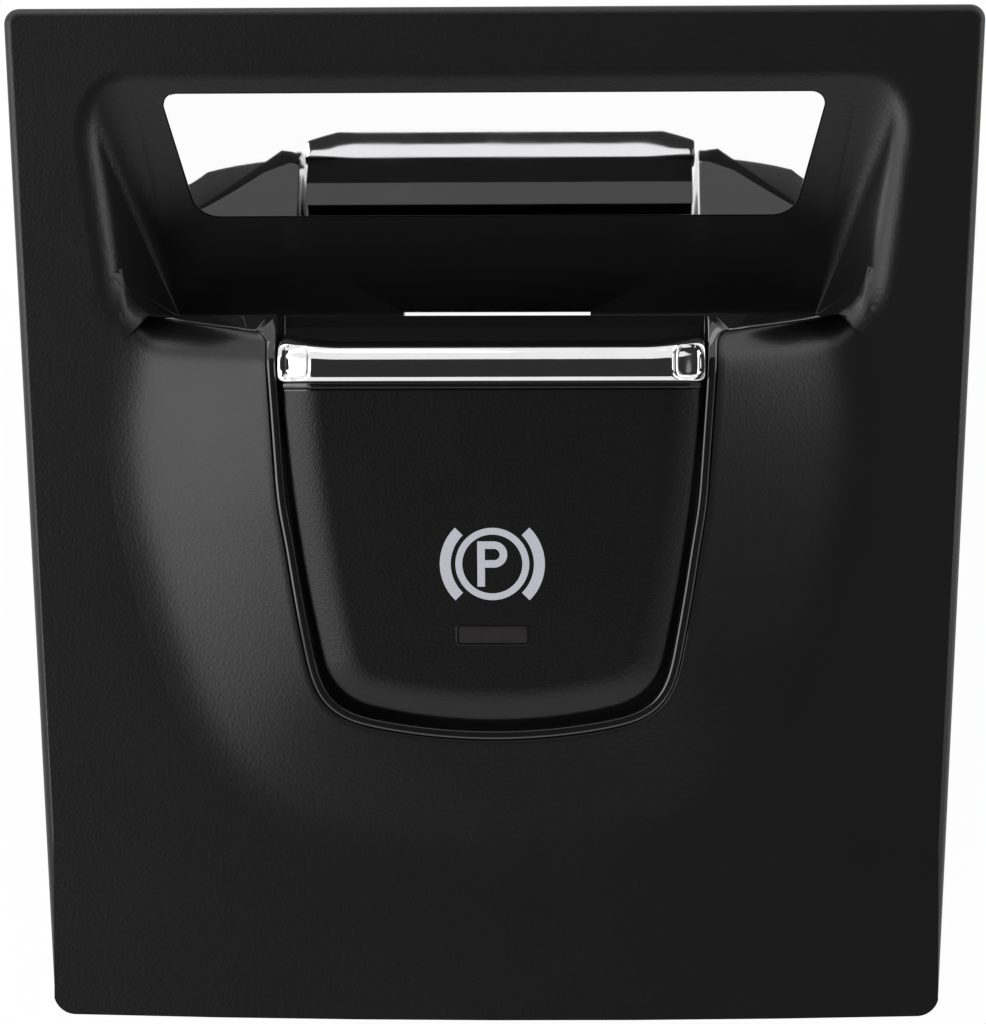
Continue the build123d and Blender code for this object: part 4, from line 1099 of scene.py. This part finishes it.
skin, skinEdge = makeSwelling()
finishPiece(skin, "panelSwelling", "panel_black", "root", 50)

# Gloss band along the panel's edge: a ring round the lever, then steep wings at the rear
glossBand = {
    "width": 0.9 * mm,
    "rearY": 17.65 * mm,
    "turnX": 18.6 * mm,
    "cornerX": 21.5 * mm,
    "cornerY": 14.9 * mm,
    "fall": 1.43,
    "near": ((-0.12, -0.5), (0.02, -0.05), (0.07, 0.08), (0.16, 0.18), (0.30, 0.25)),
    "far": ((-0.20, 0.24), (-0.08, 0.15), (-0.02, 0.02), (0.0, -0.20), (0.0, -7.0)),
}


def bandFarPoint(point, way):
    # The band's other edge at one point, or None where it turns the corner
    if way is not None and point.y <= glossBand["cornerY"]:
        return Vector((point.x, point.y)) - way * glossBand["width"]
    return Vector((point.x, glossBand["rearY"])) if abs(point.x) > glossBand["cornerX"] else None


def turnCorner(line, inner, first, last):
    # Spreads the points from first to last over the two legs of the corner
    before, after = inner[first - 1], inner[last]
    corner = Vector((math.copysign(glossBand["turnX"], line[first][0].x), glossBand["rearY"]))
    lengths = [0.0]
    for index in range(first - 1, last):
        lengths.append(lengths[-1] + (line[index + 1][0] - line[index][0]).xy.length)
    legs = ((corner - before).length, (after - corner).length)
    for index in range(first, last):
        gone = sum(legs) * lengths[index - first + 1] / lengths[-1]
        if gone < legs[0]:
            inner[index] = before.lerp(corner, gone / legs[0])
        else:
            inner[index] = corner.lerp(after, (gone - legs[0]) / legs[1])


def bandFarLine(line):
    # For each point of the panel's edge, the point of the band's other edge
    inner = [bandFarPoint(point, way) for point, way in line]
    while None in inner:
        first = last = inner.index(None)
        while inner[last] is None:
            last += 1
        turnCorner(line, inner, first, last)
    return inner


def makeGlossBand(line):
    inner = bandFarLine(line)
    across = len(line) - 1
    nearRows = len(glossBand["near"])
    rows = glossBand["near"] + glossBand["far"]
    mesh = bmesh.new()
    bmesh.ops.create_grid(mesh, x_segments=across, y_segments=len(rows) - 1, size=0.5)
    for vert in mesh.verts:
        index = round((vert.co.x + 0.5) * across)
        row = round((vert.co.y + 0.5) * (len(rows) - 1))
        edge = line[index][0]
        step, rise = rows[row]
        start = edge.xy if row < nearRows else inner[index]
        place = start + (inner[index] - edge.xy).normalized() * step * mm
        fall = 0.0
        if inner[index].y > glossBand["cornerY"]:
            fall = glossBand["fall"] * max(0.0, place.y - edge.y)
        vert.co = (place.x, place.y, edge.z + rise * mm - fall)
    return mesh


finishPiece(makeGlossBand(skinEdge), "glossBand", "gloss_black", "root", 60)

# The surround below the band is lowered where the band takes its place
surroundFit = {
    "rearY": 9.3 * mm,
    "rearZ": (40.9 * mm, 44.5 * mm),
    "rearSunkZ": 38.0 * mm,
    "ringZ": 41.5 * mm,
    "ringSunk": 0.6 * mm,
}
surround = mergedCopy("inner_bezel")
for vert in surround.verts:
    lowest, highest = surroundFit["rearZ"]
    if vert.co.y > surroundFit["rearY"] and lowest < vert.co.z < highest:
        vert.co.z = surroundFit["rearSunkZ"]
    elif vert.co.z > surroundFit["ringZ"]:
        vert.co.z -= surroundFit["ringSunk"]
finishPiece(surround, "glossSurround", "gloss_black", "root", 22, ["inner_bezel"], turned=False)
plate = finishPiece(
    makePlate(), "panelPlate", "panel_black", "root", 40, ["fascia_panel"], turned=False,
)


flatFace = {"upright": 0.99995, "reach": 0.002 * mm, "leastUpright": 0.7}


def levelFlatFace(piece, height):
    # Corners of the flat face point straight up, so the roundings beside it start without a crease
    data = piece.data
    piece.modifiers.clear()
    flat = set()
    for face in data.polygons:
        if face.normal.z > flatFace["upright"] and abs(face.center.z - height) < flatFace["reach"]:
            flat.update(face.vertices)
    normals = [Vector(corner.vector) for corner in data.corner_normals]
    for face in data.polygons:
        for corner in face.loop_indices:
            index = data.loops[corner].vertex_index
            if index in flat and face.normal.z > flatFace["leastUpright"]:
                normals[corner] = Vector((0, 0, 1))
    data.normals_split_custom_set(normals)


levelFlatFace(plate, swelling["faceZ"])
print("panel made")


# The photograph's own point of view
view = {
    "place": (8.79 * mm, 10.86 * mm, 365.0 * mm),
    "turn": (-1.866, 1.558, -0.123),
    "lens": 130.16,
    "sensor": 36,
    "nearest": 10 * mm,
}
cameraData = bpy.data.cameras.new("photoCamera")
cameraData.lens = view["lens"]
cameraData.sensor_width = view["sensor"]
cameraData.clip_start = view["nearest"]
camera = bpy.data.objects.new("photoCamera", cameraData)
camera.location = view["place"]
camera.rotation_euler = [math.radians(a) for a in view["turn"]]
scene.collection.objects.link(camera)
scene.camera = camera


softboxes = {  # place, size and power
    "leftSoftbox": ((-0.55, -0.02, 0.38), (0.55, 0.55), 2.25),
    "rearSoftbox": ((-0.25, 0.56, 0.18), (0.5, 0.2), 0.7),
    "rightSoftbox": ((0.46, 0.22, 0.15), (0.60, 0.16), 0.75),
}
lightAim = Vector((0, 0, 0.04))


def softbox(name, place, size, power):
    data = bpy.data.lights.new(name, "AREA")
    data.shape = "RECTANGLE"
    data.size, data.size_y = size
    data.energy = power
    lamp = bpy.data.objects.new(name, data)
    lamp.location = place
    lamp.rotation_euler = (lightAim - Vector(place)).to_track_quat("-Z", "Y").to_euler()
    scene.collection.objects.link(lamp)


for name, (place, size, power) in softboxes.items():
    softbox(name, place, size, power)

darkCards = {  # place, size, degrees about Y and glow
    "overheadCard": ((0.10, -0.04, 0.43), (0.66, 0.68), 0, 0.03),
    "rightCard": ((0.44, 0.0, 0.32), (0.26, 1.0), 90, 0.30),
}


def darkCard(name, place, size, turn, glow):
    # A dark card that only reflections see, as the unlit side of a studio
    mesh = bmesh.new()
    bmesh.ops.create_grid(mesh, x_segments=1, y_segments=1, size=0.5)
    bmesh.ops.scale(mesh, verts=mesh.verts, vec=(size[0], size[1], 1))
    turned = Matrix.Translation(place) @ Matrix.Rotation(math.radians(turn), 4, "Y")
    bmesh.ops.transform(mesh, matrix=turned, verts=mesh.verts)
    data = bpy.data.meshes.new(name)
    mesh.to_mesh(data)
    mesh.free()
    card = bpy.data.objects.new(name, data)
    scene.collection.objects.link(card)
    finish = Finish(name)
    data.materials.append(finish.done(finish.make("Emission", sockets={0: grey(1), 1: glow})))
    for rays in ("camera", "diffuse", "transmission", "shadow", "volume_scatter"):
        setattr(card, "visible_" + rays, False)


for name, (place, size, turn, glow) in darkCards.items():
    darkCard(name, place, size, turn, glow)

worldGlow = 0.68  # for light that falls on the part; what is seen or mirrored is white
world = bpy.data.worlds.new("studio")
scene.world = world
world.use_nodes = True
skyTree = world.node_tree
skyTree.nodes.clear()
lightPath = skyTree.nodes.new("ShaderNodeLightPath")
skyOut = skyTree.nodes.new("ShaderNodeOutputWorld")
skyColour = skyTree.nodes.new("ShaderNodeBackground")
skyColour.inputs[0].default_value = grey(1)
rays = Wire(skyTree, lightPath.outputs["Is Camera Ray"])
rays = rays.most(Wire(skyTree, lightPath.outputs["Is Glossy Ray"]))
rays = rays.most(Wire(skyTree, lightPath.outputs["Is Transmission Ray"]))
plug(skyTree, skyColour.inputs[1], worldGlow + rays * (1 - worldGlow))
skyTree.links.new(skyColour.outputs[0], skyOut.inputs[0])


def paleFloor():
    # White where it is seen or mirrored, with a trace of paint that takes the shadow
    finish = Finish("paleFloor")
    direct = finish.make("LightPath", output=0)
    glossy = finish.make("LightPath", output=3)
    through = finish.make("LightPath", output=6)
    seen = direct.most(glossy).most(through)
    paint = finish.surface(colour=grey(0.85), rough=0.9)
    bright = finish.make("Emission", sockets={0: grey(1), 1: 1.0})
    return finish.done(finish.make("MixShader", sockets={0: seen * 0.97, 1: paint, 2: bright}))


floorGap = 0.05 * mm  # keeps the floor clear of the part's lowest faces
floorMesh = bmesh.new()
bmesh.ops.create_grid(floorMesh, x_segments=1, y_segments=1, size=1.5)
floorData = bpy.data.meshes.new("floor")
floorMesh.to_mesh(floorData)
floorMesh.free()
floor = bpy.data.objects.new("floor", floorData)
floor.location = (0, 0, -floorGap)
floorData.materials.append(paleFloor())
scene.collection.objects.link(floor)
print("stage made")

scene.view_settings.view_transform = "Standard"
